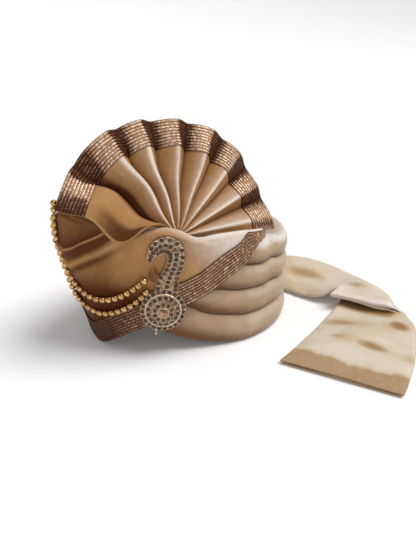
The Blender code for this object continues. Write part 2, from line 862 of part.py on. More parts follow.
# The long double-layer tail, a flattened sleeve that lies on the table
def make_tail(group, look):
    stations = np.array(TAIL)
    fine = np.linspace(0, 1, TAIL_STATIONS)
    heading = np.radians(np.interp(fine, stations[:, 0], stations[:, 1]))
    cross = np.radians(np.interp(fine, stations[:, 0], stations[:, 2]))
    width = TAIL_WIDTH * np.interp(fine, stations[:, 0], stations[:, 3])
    lifts = [TAIL_LIFT * np.interp(fine, stations[:, 0], stations[:, k]) for k in (4, 5, 6)]
    step = TAIL_LENGTH / (len(fine) - 1)
    root = plan(TAIL_TURN, 0.0, TAIL_ROOT_GAP)
    middle = [np.array([root[0], root[1]])]
    for index in range(1, len(fine)):
        turn = (heading[index - 1] + heading[index]) / 2
        middle.append(middle[-1] + step * np.array([math.cos(turn), math.sin(turn)]))
    # across runs from the near edge to the far edge, first over the top and then back below
    across = [-1.0, -0.95, -0.5, 0.0, 0.5, 0.95, 1.0, 0.95, 0.5, 0.0, -0.5, -0.95]
    level = [0.5] + [1.0] * 5 + [0.5] + [0.0] * 5
    rows = []
    for index in range(len(fine)):
        side = np.array([math.cos(cross[index]), math.sin(cross[index])])
        row = []
        for place, share in zip(across, level):
            lift = np.interp(place, [-1, 0, 1], [lifts[k][index] for k in range(3)])
            xy = middle[index] + side * place * width[index] / 2
            if index == 0:
                xy = plan(TAIL_TURN + place * TAIL_ROOT_SPREAD, 0.0, TAIL_ROOT_GAP)[:2]
            row.append([xy[0], xy[1], lift + share * TAIL_THICK])
        rows.append(row)
    mesh = grid_mesh("tail", np.array(rows), closed_columns=True)
    tail = add("tail", mesh, look, group)
    solidify(tail, TAIL_CLOTH, 1)
    return tail


def main():
    for leftover in list(bpy.data.objects):
        bpy.data.objects.remove(leftover, do_unlink=True)
    group = collection("tied_turban")
    cutters = collection("cutters")

    velvet = material("velvet", VELVET, 0.8)
    pale = material("velvet_pale", VELVET_PALE, 0.8)
    lace = material("lace", LACE_COPPER, 0.45, 0.6)
    gold = material("bead_gold", GOLD, 0.25, 1.0)
    setting = material("brooch_gold", ANTIQUE_GOLD, 0.35, 1.0)
    stone = material("stone", STONE_BROWN, 0.1)
    amber = material("amber", AMBER, 0.1)

    make_cap(group, pale)
    for number in range(ROLL_COUNT):
        make_roll(number, group, pale)
    make_cover(group, velvet)
    make_wrap(group, velvet)
    make_wrap_lace(group, lace)
    make_fan(group, velvet)
    make_fan_lace(group, lace)
    make_brooch(group, cutters, setting)
    make_centre_stone(group, stone)
    make_amber(group, amber)
    make_pendant(group, setting)
    for name, route in STRANDS.items():
        make_strand(name, route, group, gold)
    make_tail(group, pale)


main()
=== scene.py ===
import math

import bmesh
import bpy
import numpy as np
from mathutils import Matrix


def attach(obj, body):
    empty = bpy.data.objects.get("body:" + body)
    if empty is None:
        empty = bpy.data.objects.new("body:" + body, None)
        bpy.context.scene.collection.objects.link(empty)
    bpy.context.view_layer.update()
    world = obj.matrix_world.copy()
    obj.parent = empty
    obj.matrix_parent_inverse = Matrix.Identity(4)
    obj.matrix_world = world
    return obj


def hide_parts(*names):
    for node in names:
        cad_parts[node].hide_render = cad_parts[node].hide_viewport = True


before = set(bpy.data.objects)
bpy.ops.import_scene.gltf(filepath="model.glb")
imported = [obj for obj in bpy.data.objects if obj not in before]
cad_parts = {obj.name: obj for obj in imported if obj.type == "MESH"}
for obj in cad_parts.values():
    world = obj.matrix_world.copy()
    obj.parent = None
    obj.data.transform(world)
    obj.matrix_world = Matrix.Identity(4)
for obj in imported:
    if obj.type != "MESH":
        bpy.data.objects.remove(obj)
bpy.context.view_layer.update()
mm = 0.001
chance = np.random.default_rng(11)

# the turban's main sizes, the same as those of its solids
form = {
    "halfWidth": 106 * mm,
    "backReach": 125 * mm,
    "prowReach": 130 * mm,
    "prowLean": 33 * mm,
    "leanTop": 122 * mm,
    "prowPoint": 1.4,
    "prowHeight": 157 * mm,
    "hemLift": 30 * mm,
    "creaseLift": 40 * mm,
    "headHalfWidth": 80 * mm,
    "headHalfLength": 101 * mm,
    "capHeight": 112 * mm,
    "capRecess": 2 * mm,
    "backDrop": 6 * mm,
    "rimDrop": 12 * mm,
    "wrapEnd": 99,
    "wrapFade": 12,
    "openDrop": 2 * mm,
    "midHeight": 0.07,
    # degrees from the prow where each lift ends and over how many it grows, or where the back drops
    "hemFade": (85, 52),
    "creaseFade": (90, 48),
    "backFade": (85, 40),
}
edgeTable = np.array([
    (-110, 0.80), (-98, 0.75), (-85, 0.618), (-73, 0.529), (-61, 0.42), (-50, 0.344), (-35, 0.223),
    (-24, 0.146), (-15, 0.083), (-7.5, 0.036), (0, 0.012), (7.5, 0.036), (15, 0.083), (24, 0.146),
    (35, 0.223), (50, 0.344), (61, 0.42), (73, 0.529), (85, 0.618), (98, 0.75), (110, 0.80),
])
rimTable = np.array([
    (-180, 0.745), (-120, 0.76), (-98, 0.80), (-75, 0.83), (-45, 0.90), (-15, 0.98), (0, 1.0),
    (8, 0.985), (18, 0.95), (26, 0.905), (34, 0.872), (41, 0.892), (48, 0.897), (53, 0.872),
    (59, 0.828), (68, 0.832), (98, 0.81), (120, 0.745), (180, 0.735),
])


# numbers and curves

def smooth(share):
    share = np.clip(share, 0.0, 1.0)
    return share * share * (3 - 2 * share)


def rises(value, start, width, high=1.0):
    # smoothly from 0 at the start up to its full height, a width further on
    return high * smooth((value - start) / width)


def falls(value, end, width, high=1.0):
    # smoothly from its full height, a width before the end, down to 0 there
    return high * smooth((end - value) / width)


def bell(offset, width, high=1.0):
    # full height in the middle, falling off as a Gaussian
    return high * np.exp(-((offset / width) ** 2))


def through(table, x, column=1):
    # a cubic through the table's points, whose slope at each one is that of its neighbours
    xs, ys = table[:, 0], table[:, column]
    slope = np.gradient(ys, xs)
    at = np.clip(np.searchsorted(xs, x) - 1, 0, len(xs) - 2)
    step = xs[at + 1] - xs[at]
    t = np.clip((x - xs[at]) / step, 0.0, 1.0)
    start = (2 * t**3 - 3 * t**2 + 1) * ys[at] + (t**3 - 2 * t**2 + t) * step * slope[at]
    return start + (3 * t**2 - 2 * t**3) * ys[at + 1] + (t**3 - t**2) * step * slope[at + 1]


def ripple(a, b, waves):
    # the sum of sine waves, each with its counts along a and b, its phase and its height
    return sum(high * np.sin(p * a + q * b + phase) for p, q, phase, high in waves)


def spline(stops, count):
    # points evenly spaced along the Catmull-Rom curve through the stops
    stops = np.array(stops, float)
    ends = np.vstack([2 * stops[0] - stops[1], stops, 2 * stops[-1] - stops[-2]])
    t = np.linspace(0, 1, 24, endpoint=False)[None, :, None]
    a, b, c, d = (ends[k : k + len(stops) - 1, None, :] for k in range(4))
    fine = 0.5 * (
        2 * b + (c - a) * t + (2 * a - 5 * b + 4 * c - d) * t**2 + (3 * b - a - 3 * c + d) * t**3
    )
    fine = np.vstack([fine.reshape(-1, stops.shape[1]), stops[-1:]])
    run = np.concatenate([[0], np.cumsum(np.linalg.norm(np.diff(fine, axis=0), axis=1))])
    even = np.linspace(0, run[-1], count)
    return np.stack([np.interp(even, run, fine[:, k]) for k in range(fine.shape[1])], 1), run[-1]


def unit(vectors):
    return vectors / np.maximum(np.linalg.norm(vectors, axis=-1, keepdims=True), 1e-12)


# the turban's own surfaces

def plan(turn, height, out=0.0):
    # an oval seen from above, pointed at the prow, which leans forward with height; turn is in
    # degrees from the prow towards the wearer's left, and out moves the point outwards
    angle = np.radians(turn)
    ahead, aside = np.cos(angle), np.sin(angle)
    lean = form["prowLean"] * np.clip(height / form["leanTop"], 0.0, 1.0)
    front = -(form["prowReach"] + lean) * np.abs(ahead) ** form["prowPoint"]
    y = np.where(ahead > 0, front, form["backReach"] * np.abs(ahead)) - out * ahead
    x = form["halfWidth"] * aside + out * aside
    return np.stack(np.broadcast_arrays(x, y, height), -1).astype(float)


def headOval(turn, height, scale, wall):
    # the head's oval, scaled, with wall added outside it
    angle = np.radians(turn)
    x = (form["headHalfWidth"] * scale + wall) * np.sin(angle)
    y = -(form["headHalfLength"] * scale + wall) * np.cos(angle)
    return np.stack(np.broadcast_arrays(x, y, height), -1).astype(float)


def edgeHeight(turn):
    return form["prowHeight"] * through(edgeTable, turn)


def rimHeight(turn):
    return form["prowHeight"] * through(rimTable, turn)


def nearProw(turn, end, width):
    # 1 by the prow, falling evenly to 0 on both sides
    return np.clip((end - np.abs(turn)) / width, 0.0, 1.0)


def hemHeight(turn):
    rise = form["hemLift"] * nearProw(turn, *form["hemFade"]) ** 2
    return np.minimum(rise, edgeHeight(turn) + form["capRecess"])


def stackTop(turn):
    under = falls(np.abs(turn), form["wrapEnd"] + form["wrapFade"], form["wrapFade"])
    behind = form["backDrop"] * rises(np.abs(turn), *form["backFade"])
    return rimHeight(turn) - form["rimDrop"] * under - (1 - under) * form["openDrop"] - behind


def creaseHeight(turn, share):
    lift = form["creaseLift"] * nearProw(turn, *form["creaseFade"]) ** 1.8
    return lift + share * (stackTop(turn) - lift)


def evenTurns(first, last, count):
    # turns whose points on the plan are equally far apart
    fine = np.linspace(first, last, 1441)
    ring = plan(fine, form["midHeight"])
    run = np.concatenate([[0], np.cumsum(np.linalg.norm(np.diff(ring, axis=0), axis=1))])
    return np.interp(np.linspace(0, run[-1], count), run, fine)


# meshes

def fill(name, points, faces, uv=None, smoothed=True):
    mesh = bpy.data.meshes.new(name)
    mesh.vertices.add(len(points))
    mesh.vertices.foreach_set("co", np.ascontiguousarray(points, np.float32).ravel())
    mesh.loops.add(faces.size)
    mesh.loops.foreach_set("vertex_index", faces.astype(np.int32).ravel())
    mesh.polygons.add(len(faces))
    mesh.polygons.foreach_set("loop_start", np.arange(0, faces.size, faces.shape[1], dtype=np.int32))
    if uv is not None:
        layer = mesh.uv_layers.new(name="cloth")
        layer.uv.foreach_set("vector", np.ascontiguousarray(uv, np.float32).ravel())
    mesh.update(calc_edges=True)
    mesh.validate()
    mesh.polygons.foreach_set("use_smooth", np.full(len(mesh.polygons), smoothed))
    return mesh


def gridMesh(name, points, around=False, along=False, uv=None):
    # quads between the neighbours of a grid of points; around joins the last column to the first
    # and along the last row to the first; uv has a row or column more where the grid is joined
    rows, columns = points.shape[:2]
    r, c = np.meshgrid(
        np.arange(rows if along else rows - 1), np.arange(columns if around else columns - 1),
        indexing="ij",
    )
    r, c = r.ravel(), c.ravel()
    corners = [(r, c), (r, c + 1), (r + 1, c + 1), (r + 1, c)]
    faces = np.stack([(a % rows) * columns + b % columns for a, b in corners], 1)
    places = None if uv is None else np.stack([uv[a, b] for a, b in corners], 1)
    return fill(name, points.reshape(-1, 3), faces, places)


def tidy(mesh):
    # merges doubled points, such as those of a pole, and turns the faces outwards
    shape = bmesh.new()
    shape.from_mesh(mesh)
    bmesh.ops.remove_doubles(shape, verts=shape.verts, dist=1e-6)
    bmesh.ops.dissolve_degenerate(shape, edges=shape.edges, dist=1e-7)
    bmesh.ops.recalc_face_normals(shape, faces=shape.faces)
    shape.to_mesh(mesh)
    shape.free()
    return mesh


def copies(name, template, centres, axes, sizes, smoothed=True):
    # the template's points, sized, turned to each copy's three axes and moved to its centre
    points, faces = template
    placed = np.einsum("pk,nkj->npj", points, axes) * sizes[:, None, None] + centres[:, None, :]
    shift = (np.arange(len(centres)) * len(points))[:, None, None]
    return fill(name, placed.reshape(-1, 3), (faces[None] + shift).reshape(-1, 3), None, smoothed)


def rings(profile, sides, twist=0.0):
    # triangles of a shape turned round Z through a profile of (radius, height), closed at both ends
    radius, height = np.array(profile, float).T
    level = np.arange(len(radius))[:, None]
    angle = 2 * math.pi * (np.arange(sides)[None, :] + twist * level) / sides
    ring = np.stack(np.broadcast_arrays(
        radius[:, None] * np.cos(angle), radius[:, None] * np.sin(angle), height[:, None]), -1)
    points = np.vstack([ring.reshape(-1, 3), [[0, 0, height[0]], [0, 0, height[-1]]]])
    r, c = np.meshgrid(np.arange(len(radius) - 1), np.arange(sides), indexing="ij")
    r, c, n = r.ravel(), c.ravel(), (c.ravel() + 1) % sides
    a, b = r * sides + c, r * sides + n
    body = np.vstack([np.stack([a, b, b + sides], 1), np.stack([a, b + sides, a + sides], 1)])
    c = np.arange(sides)
    n, last, foot = (c + 1) % sides, (len(radius) - 1) * sides, len(points) - 2
    base = np.stack([n, c, np.full(sides, foot)], 1)
    top = np.stack([last + c, last + n, np.full(sides, foot + 1)], 1)
    return points, np.vstack([body, base, top])


def gridNormals(points):
    return unit(np.cross(np.gradient(points, axis=1), np.gradient(points, axis=0)))


def runs(points, axis):
    # the distance walked along an axis of a grid, for a pattern that keeps its scale
    steps = np.linalg.norm(np.diff(points, axis=axis), axis=-1)
    pad = [(1, 0), (0, 0)] if axis == 0 else [(0, 0), (1, 0)]
    return np.pad(np.cumsum(steps, axis=axis), pad)


def sewnRows(share, count, ridge):
    # a rounded ridge for each sewn row across a lace
    return np.abs(np.sin(math.pi * share * count)) ** 0.6 * ridge


def clothUv(points, up=None):
    # the distance walked along each row, and up the columns unless that is given
    up = runs(points, 0) if up is None else np.broadcast_to(up, points.shape[:2])
    return np.stack([runs(points, 1), up], -1)


def brush(mesh, paintedLightAndTone):
    # painted light and tone at each point, mostly painted highlights and shade: above 0 paler, below 0
    # deeper
    layer = mesh.attributes.new("paintedLightAndTone", "FLOAT", "POINT")
    layer.data.foreach_set("value", paintedLightAndTone.astype(np.float32).ravel())
    return mesh


def stand(name, data):
    thing = bpy.data.objects.new(name, data)
    bpy.context.scene.collection.objects.link(thing)
    return thing


def addPiece(mesh, look, slot, *nodes, wall=0.0, side=0):
    # a cloth's wall grows from its surface to one side: 1 outwards, -1 inwards, 0 both ways
    piece = stand(mesh.name, mesh)
    mesh.materials.append(look)
    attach(piece, "root")
    if nodes:
        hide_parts(*nodes)
    if wall:
        shell = piece.modifiers.new("cloth", "SOLIDIFY")
        shell.thickness, shell.offset = wall, side
    return piece


# materials

class Wire:
    # a node's output in a look; arithmetic on it adds Math nodes
    def __init__(self, look, socket):
        self.look, self.socket = look, socket

    def maths(self, operation, *values):
        numbered = dict(enumerate(values))
        return self.look.node("ShaderNodeMath", {"operation": operation}, numbered)

    def __add__(self, other):
        return self.maths("ADD", self, other)

    def __sub__(self, other):
        return self.maths("SUBTRACT", self, other)

    def __rsub__(self, other):
        return self.maths("SUBTRACT", other, self)

    def __mul__(self, other):
        return self.maths("MULTIPLY", self, other)

    def __truediv__(self, other):
        return self.maths("DIVIDE", self, other)

    def __pow__(self, other):
        return self.maths("POWER", self, other)

    __radd__ = __add__
    __rmul__ = __mul__


class Look:
    # one material, its shader's constant values, and a method that adds any node
    def __init__(self, name, constants):
        self.material = bpy.data.materials.new(name)
        self.material.use_nodes = True
        self.tree = self.material.node_tree
        self.shader = self.tree.nodes["Principled BSDF"]
        for socket, value in constants.items():
            self.shader.inputs[socket].default_value = value

    def plug(self, socket, value):
        if isinstance(value, Wire):
            self.tree.links.new(value.socket, socket)
        else:
            socket.default_value = value

    def node(self, kind, settings, sockets, output=0):
        made = self.tree.nodes.new(kind)
        for setting, value in settings.items():
            setattr(made, setting, value)
        for socket, value in sockets.items():
            self.plug(made.inputs[socket], value)
        return Wire(self, made.outputs[output])

    def wear(self, **links):
        for name, value in links.items():
            self.plug(self.shader.inputs[name.replace("_", " ")], value)
        return self.material

    def place(self):
        return self.node("ShaderNodeTexCoord", {}, {}, "Object")

    def cloth(self, output):
        uv = self.node("ShaderNodeUVMap", {"uv_map": "cloth"}, {})
        return self.node("ShaderNodeSeparateXYZ", {}, {0: uv}, output)

    def paintedLightAndTone(self):
        # painted light and tone, mostly painted highlights and painted shade
        return self.node("ShaderNodeAttribute", {"attribute_name": "paintedLightAndTone"}, {}, 2)

    def noise(self, where, scale, detail=2.0, rough=0.5, distortion=0.0):
        sockets = {
            "Vector": where, "Scale": scale, "Detail": detail, "Roughness": rough,
            "Distortion": distortion,
        }
        return self.node("ShaderNodeTexNoise", {}, sockets)

    def mix(self, factor, one, other):
        one, other = ((*c, 1.0) if isinstance(c, tuple) else c for c in (one, other))
        return self.node("ShaderNodeMix", {"data_type": "RGBA"}, {0: factor, 6: one, 7: other}, 2)

    def sharpen(self, value, low, high):
        sockets = {"Value": value, "From Min": low, "From Max": high}
        return self.node("ShaderNodeMapRange", {"interpolation_type": "SMOOTHSTEP"}, sockets)

    def bump(self, height, strength, distance, below=None):
        sockets = {"Height": height, "Strength": strength, "Distance": distance}
        if below is not None:
            sockets["Normal"] = below
        return self.node("ShaderNodeBump", {}, sockets)


def velvetLook(name, values):
    # short pile: two grounds in soft patches, pale flecks of fuzz, the top colour as painted highlight
    # and the bottom colour as painted shade where the painted light and tone says, and a sheen at
    # grazing angles
    look = Look(name, {
        "Specular IOR Level": 0.15, "Sheen Weight": values["sheen"],
        "Sheen Roughness": values["sheenSpread"], "Sheen Tint": (*values["tint"], 1.0),
    })
    where = look.place()
    patches = look.noise(where, values["patchScale"], 3.0, 0.55, 0.8)
    mottle = look.noise(where, values["mottleScale"], 2.0, 0.6)
    fuzz = look.noise(where, values["fuzzScale"], 2.0, 0.7)
    paintedLightAndTone = look.paintedLightAndTone() + (mottle - 0.5) * values["mottle"]
    brushed = look.sharpen(patches, values["patchLow"], values["patchHigh"])
    ground = look.mix(brushed, values["deep"], values["pale"])
    flecks = look.sharpen(fuzz, 0.3, 0.75) * values["flecks"]
    ground = look.mix(flecks, ground, values["fleck"])
    # painted highlight: towards the top colour where the painted light and tone is above 0
    ground = look.mix(look.sharpen(paintedLightAndTone, 0.0, 1.0), ground, values["top"])
    # painted shade: towards the bottom colour where it is below 0
    ground = look.mix(look.sharpen(0.0 - paintedLightAndTone, 0.0, 1.0), ground, values["bottom"])
    waves = look.bump(patches, 0.25, 1.2 * mm)
    pile = look.bump(fuzz, values["fuzz"], 0.4 * mm, waves)
    return look.wear(Base_Color=ground, Roughness=0.72 + 0.2 * fuzz, Normal=pile)


# top is the colour of painted highlights and bottom that of painted shade; on the tail bottom is also
# its hem's tone
velvet = {
    "sheen": 0.18, "sheenSpread": 0.30, "tint": (1.0, 0.88, 0.74), "patchScale": 22.0,
    "patchLow": 0.36, "patchHigh": 0.68, "mottleScale": 170.0, "mottle": 0.24, "fuzzScale": 900.0,
    "fuzz": 0.5, "flecks": 0.22, "fleck": (0.55, 0.34, 0.16), "deep": (0.310, 0.142, 0.044),
    "pale": (0.385, 0.196, 0.072), "top": (0.730, 0.645, 0.560), "bottom": (0.085, 0.022, 0.004),
}
# the rolls' velvet is the wrap's velvet painted paler and greyer, as painted sheen
rollVelvet = dict(
    velvet, deep=(0.390, 0.270, 0.172), pale=(0.450, 0.335, 0.235), top=(0.76, 0.71, 0.66),
    bottom=(0.15, 0.070, 0.030), tint=(1.0, 0.95, 0.90), sheen=0.5,
)
tailVelvet = dict(
    velvet, deep=(0.560, 0.430, 0.280), pale=(0.660, 0.570, 0.460), top=(0.78, 0.72, 0.66),
    bottom=(0.30, 0.158, 0.042), tint=(1.0, 0.97, 0.92), sheen=0.4, patchScale=16.0, patchLow=0.30,
    patchHigh=0.62,
)


def laceLook(name, values):
    # metallic thread sewn in rows: each row is a chain of short stitches of uneven brightness,
    # brighter at their middles, partly the thread's own pattern and partly painted highlight, with
    # painted glints and the painted light and tone added
    look = Look(name, {"Metallic": 0.45, "Specular IOR Level": 0.12})
    rowPlace = look.cloth("Y") / values["row"]
    row = rowPlace.maths("FLOOR", rowPlace)
    stitchPlace = look.cloth("X") / values["stitch"] + 0.5 * row
    stitch = stitchPlace.maths("FLOOR", stitchPlace)
    inRow, inStitch = rowPlace - row, stitchPlace - stitch
    cell = look.node("ShaderNodeCombineXYZ", {}, {0: stitch, 1: row, 2: 0.0})
    luck = look.node("ShaderNodeTexWhiteNoise", {"noise_dimensions": "2D"}, {"Vector": cell})
    dome = (inRow * (1 - inRow) * 4) ** 0.8 * (0.5 + 0.5 * (inStitch * (1 - inStitch) * 4) ** 0.5)
    threads = look.noise(look.place(), values["threadScale"], 1.0, 0.6)
    paintedLightAndTone = look.paintedLightAndTone()
    lit = look.sharpen(dome * (0.8 + 0.35 * luck) + 0.7 * (threads - 0.5) + 0.5 * paintedLightAndTone, 0.25, 1.05)
    colour = look.mix(lit, values["dark"], values["bright"])
    # painted glints on the brightest stitches, more where the painted light is paler
    paintedGlint = look.sharpen(luck + 0.30 * paintedLightAndTone, 0.72, 0.98) * look.sharpen(dome, 0.5, 0.9)
    colour = look.mix(paintedGlint * 0.7, colour, values["paintedGlint"])
    relief = look.bump(dome + 0.15 * threads, 0.9, values["relief"])
    return look.wear(Base_Color=colour, Roughness=0.52 - 0.26 * lit, Normal=relief)


lace = {
    "row": 3.1 * mm, "stitch": 1.3 * mm, "threadScale": 1400.0, "relief": 0.6 * mm,
    "dark": (0.062, 0.018, 0.006), "bright": (0.44, 0.262, 0.160), "paintedGlint": (0.92, 0.74, 0.56),
}


def metalLook(name, values):
    # cast metal, brighter and smoother where it is rubbed
    look = Look(name, {"Metallic": 1.0})
    wear = look.noise(look.place(), values["scale"], 3.0, 0.6)
    tone = look.sharpen(wear, 0.35, 0.7)
    colour = look.mix(tone, values["deep"], values["bright"])
    rough = values["rough"] + 0.12 * (1 - tone)
    return look.wear(Base_Color=colour, Roughness=rough, Normal=look.bump(wear, 0.12, 0.3 * mm))


beadGold = {"scale": 240.0, "rough": 0.13, "deep": (0.44, 0.25, 0.09), "bright": (0.64, 0.43, 0.20)}
antiqueGold = {
    "scale": 420.0, "rough": 0.26, "deep": (0.50, 0.38, 0.26), "bright": (0.92, 0.78, 0.60),
}
darkGold = dict(antiqueGold, deep=(0.18, 0.10, 0.055), bright=(0.50, 0.36, 0.23))


def stoneLook(name, values):
    # cut glass: a clear coat over a dark body that clouds towards a lighter tone
    look = Look(name, {
        "Coat Weight": 0.25, "Coat Roughness": 0.03, "IOR": 1.5,
        "Specular IOR Level": 0.4, "Specular Tint": (1.0, 0.78, 0.58, 1.0),
    })
    cloud = look.noise(look.place(), values["scale"], 1.0, 0.5)
    tone = look.sharpen(cloud, 0.45, 0.75)
    colour = look.mix(tone, values["deep"], values["bright"])
    return look.wear(Base_Color=colour, Roughness=0.06 + 0.1 * tone)


brownGlass = {"scale": 260.0, "deep": (0.034, 0.011, 0.004), "bright": (0.17, 0.070, 0.030)}
champagneGlass = {"scale": 180.0, "deep": (0.13, 0.055, 0.025), "bright": (0.45, 0.28, 0.17)}
amberGlass = {"scale": 150.0, "deep": (0.12, 0.024, 0.002), "bright": (0.30, 0.085, 0.008)}

wrapCloth = velvetLook("champagne_velvet", velvet)
rollCloth = velvetLook("pale_velvet", rollVelvet)
tailCloth = velvetLook("tail_velvet", tailVelvet)
liningCloth = velvetLook("lining", dict(rollVelvet, sheen=0.2, fuzz=0.15))
wrapLaceLook = laceLook("stitched_lace", lace)
fanLaceLook = laceLook("fan_lace_thread", dict(lace, row=3.45 * mm))
goldLook = metalLook("polished_gold", beadGold)
settingLook = metalLook("antique_gold", antiqueGold)
plateLook = metalLook("dark_gold", darkGold)
stoneGlass = stoneLook("brown_glass", brownGlass)
centreGlass = stoneLook("champagne_glass", champagneGlass)
amberLook = stoneLook("amber_glass", amberGlass)
print("materials ready")


# the padded rolls

rolls = {
    "creases": [0.0, 0.27, 0.525, 0.76, 1.0], "columns": 300, "outer": 34, "valley": 0.54,
    "fullness": 0.58, "seam": 0.15 * mm, "inside": 2.8 * mm, "press": 4.1 * mm,
    "pressStart": 10 * mm, "pressFade": 12 * mm, "pressPast": 9,
    "waves": [(0.07, 60, 0.3, 0.35), (0.13, -35, 1.1, 0.2), (0.31, 90, 2.0, 0.08)],
    # painted light and shade: where each change starts or ends, its width and its height
    "paintedLightAndTone": {
        "ground": -0.50, "back": (48, 50, 0.45), "crease": 0.45, "crown": 0.85, "crownAt": (0.05, 0.8),
        "front": (45, 40, 0.35), "lastTop": (0.55, 0.35, 0.45),
    },
}


def rollRing(number):
    # a closed ring: its section rises in a half turn from crease to crease, bulging outwards as the
    # cosine to a power, and comes back down inside against the cap
    turn = evenTurns(-180, 180, rolls["columns"] + 1)[:-1]
    low = creaseHeight(turn, rolls["creases"][number]) + rolls["seam"] if number else hemHeight(turn)
    high = creaseHeight(turn, rolls["creases"][number + 1]) - rolls["seam"]
    swing = np.radians(np.linspace(-90, 90, rolls["outer"]))
    bulge = rolls["valley"] + (1 - rolls["valley"]) * np.cos(swing).clip(0) ** rolls["fullness"]
    share = np.concatenate([0.5 + 0.5 * np.sin(swing), [1.0, 0.5, 0.0]])[:, None]
    bulge = np.concatenate([bulge, [0.0, 0.0, 0.0]])[:, None]
    height = low + share * (high - low)
    above = (height - edgeHeight(turn) + rolls["pressStart"]) / rolls["pressFade"] + 1
    covered = smooth(above) * (np.abs(turn) < form["wrapEnd"] + rolls["pressPast"])
    folds = ripple(turn, height, rolls["waves"]) * mm * (bulge > 0.7) * (1 - covered)
    inner = headOval(turn, height, 1.0, rolls["inside"])
    outer = plan(turn, height, folds - covered * rolls["press"])
    # painted light: paler towards the back, painted highlight on top of each roll, painted shade in
    # the creases and by the wrap
    side, lightAndToneSettings = np.abs(turn), rolls["paintedLightAndTone"]
    paintedLightAndTone = lightAndToneSettings["ground"] + rises(side, *lightAndToneSettings["back"]) - (1 - bulge).clip(0, lightAndToneSettings["crease"])
    paintedLightAndTone = paintedLightAndTone + lightAndToneSettings["crown"] * (rises(share, *lightAndToneSettings["crownAt"]) - 0.5) - falls(side, *lightAndToneSettings["front"])
    paintedLightAndTone = paintedLightAndTone + rises(share, *lightAndToneSettings["lastTop"]) * (number == 3)
    return inner + bulge[..., None] * (outer - inner), paintedLightAndTone


for number in range(4):
    points, paintedLightAndTone = rollRing(number)
    mesh = tidy(brush(gridMesh(f"roll_{number + 1}_velvet", points, around=True, along=True), paintedLightAndTone))
    piece = addPiece(mesh, rollCloth, "velvet_pale", f"roll_{number + 1}")
print("rolls ready")


# the cap inside and the cover on top

cap = {
    "columns": 160, "rows": 40, "knee": 84 * mm, "kneeAt": 0.45, "gores": 8, "seamDepth": 0.8 * mm,
    "seamWidth": 0.06, "off": 2.2 * mm, "cloth": 2.0 * mm,
}


def capShell():
    # a dome: straight walls that turn over in a superellipse to the middle, with shallow seams
    turn = np.linspace(-180, 180, cap["columns"] + 1)[:-1]
    share = np.linspace(0, 1, cap["rows"])[:, None]
    arc = np.clip((share - cap["kneeAt"]) / (1 - cap["kneeAt"]), 0, 1) * math.pi / 2
    scale = np.cos(arc) ** 0.62
    low = hemHeight(turn) + form["capRecess"]
    wall = low + share / cap["kneeAt"] * (cap["knee"] - low)
    dome = cap["knee"] + (form["capHeight"] - 1 * mm - cap["knee"]) * np.sin(arc) ** 0.9
    height = np.where(share < cap["kneeAt"], wall, dome)
    gore = np.abs(np.sin(np.radians(turn * cap["gores"] / 2)))
    seam = cap["seamDepth"] * bell(gore, cap["seamWidth"])
    return headOval(turn, height, scale, (cap["off"] - seam) * scale)


mesh = tidy(gridMesh("cap_lining", capShell(), around=True))
capPiece = addPiece(mesh, liningCloth, "velvet_pale", "crown_cap", wall=cap["cloth"], side=-1)

cover = {
    "columns": 360, "rows": 44, "gathers": 34, "gather": 1.6 * mm, "edgeDown": 4 * mm,
    "inset": 10.1 * mm, "overCap": 1.2 * mm, "paintedLightAndTone": 0.36, "cloth": 1.6 * mm,
}


def coverCloth():
    # from inside the rim across to the middle, dished, with gathers that grow and die away
    turn = np.linspace(-180, 180, cover["columns"] + 1)[:-1]
    share = np.linspace(0, 1, cover["rows"])[:, None]
    top = stackTop(turn) - cover["edgeDown"]
    bottom = form["capHeight"] + cover["overCap"]
    height = bottom + (top - bottom) * (1 - smooth(share * 1.25)) ** 0.9
    fold = np.sin(np.radians(turn) * cover["gathers"] + 0.8 * np.sin(np.radians(turn) * 5))
    grow = np.sin(math.pi * np.clip(share * 1.05, 0, 1)) ** 0.7
    height = height + cover["gather"] * (fold * 0.5 + 0.5) * grow
    edge = plan(turn, height, -cover["inset"])
    middle = np.zeros_like(edge)
    middle[..., 2] = height
    return edge + (share**0.9)[..., None] * (middle - edge)


mesh = tidy(gridMesh("top_cover_velvet", coverCloth(), around=True))
brush(mesh, np.full(len(mesh.vertices), cover["paintedLightAndTone"]))
coverPiece = addPiece(mesh, wrapCloth, "velvet", "top_cover", wall=cover["cloth"], side=1)
print("cap and cover ready")


# the smooth wrap over the front

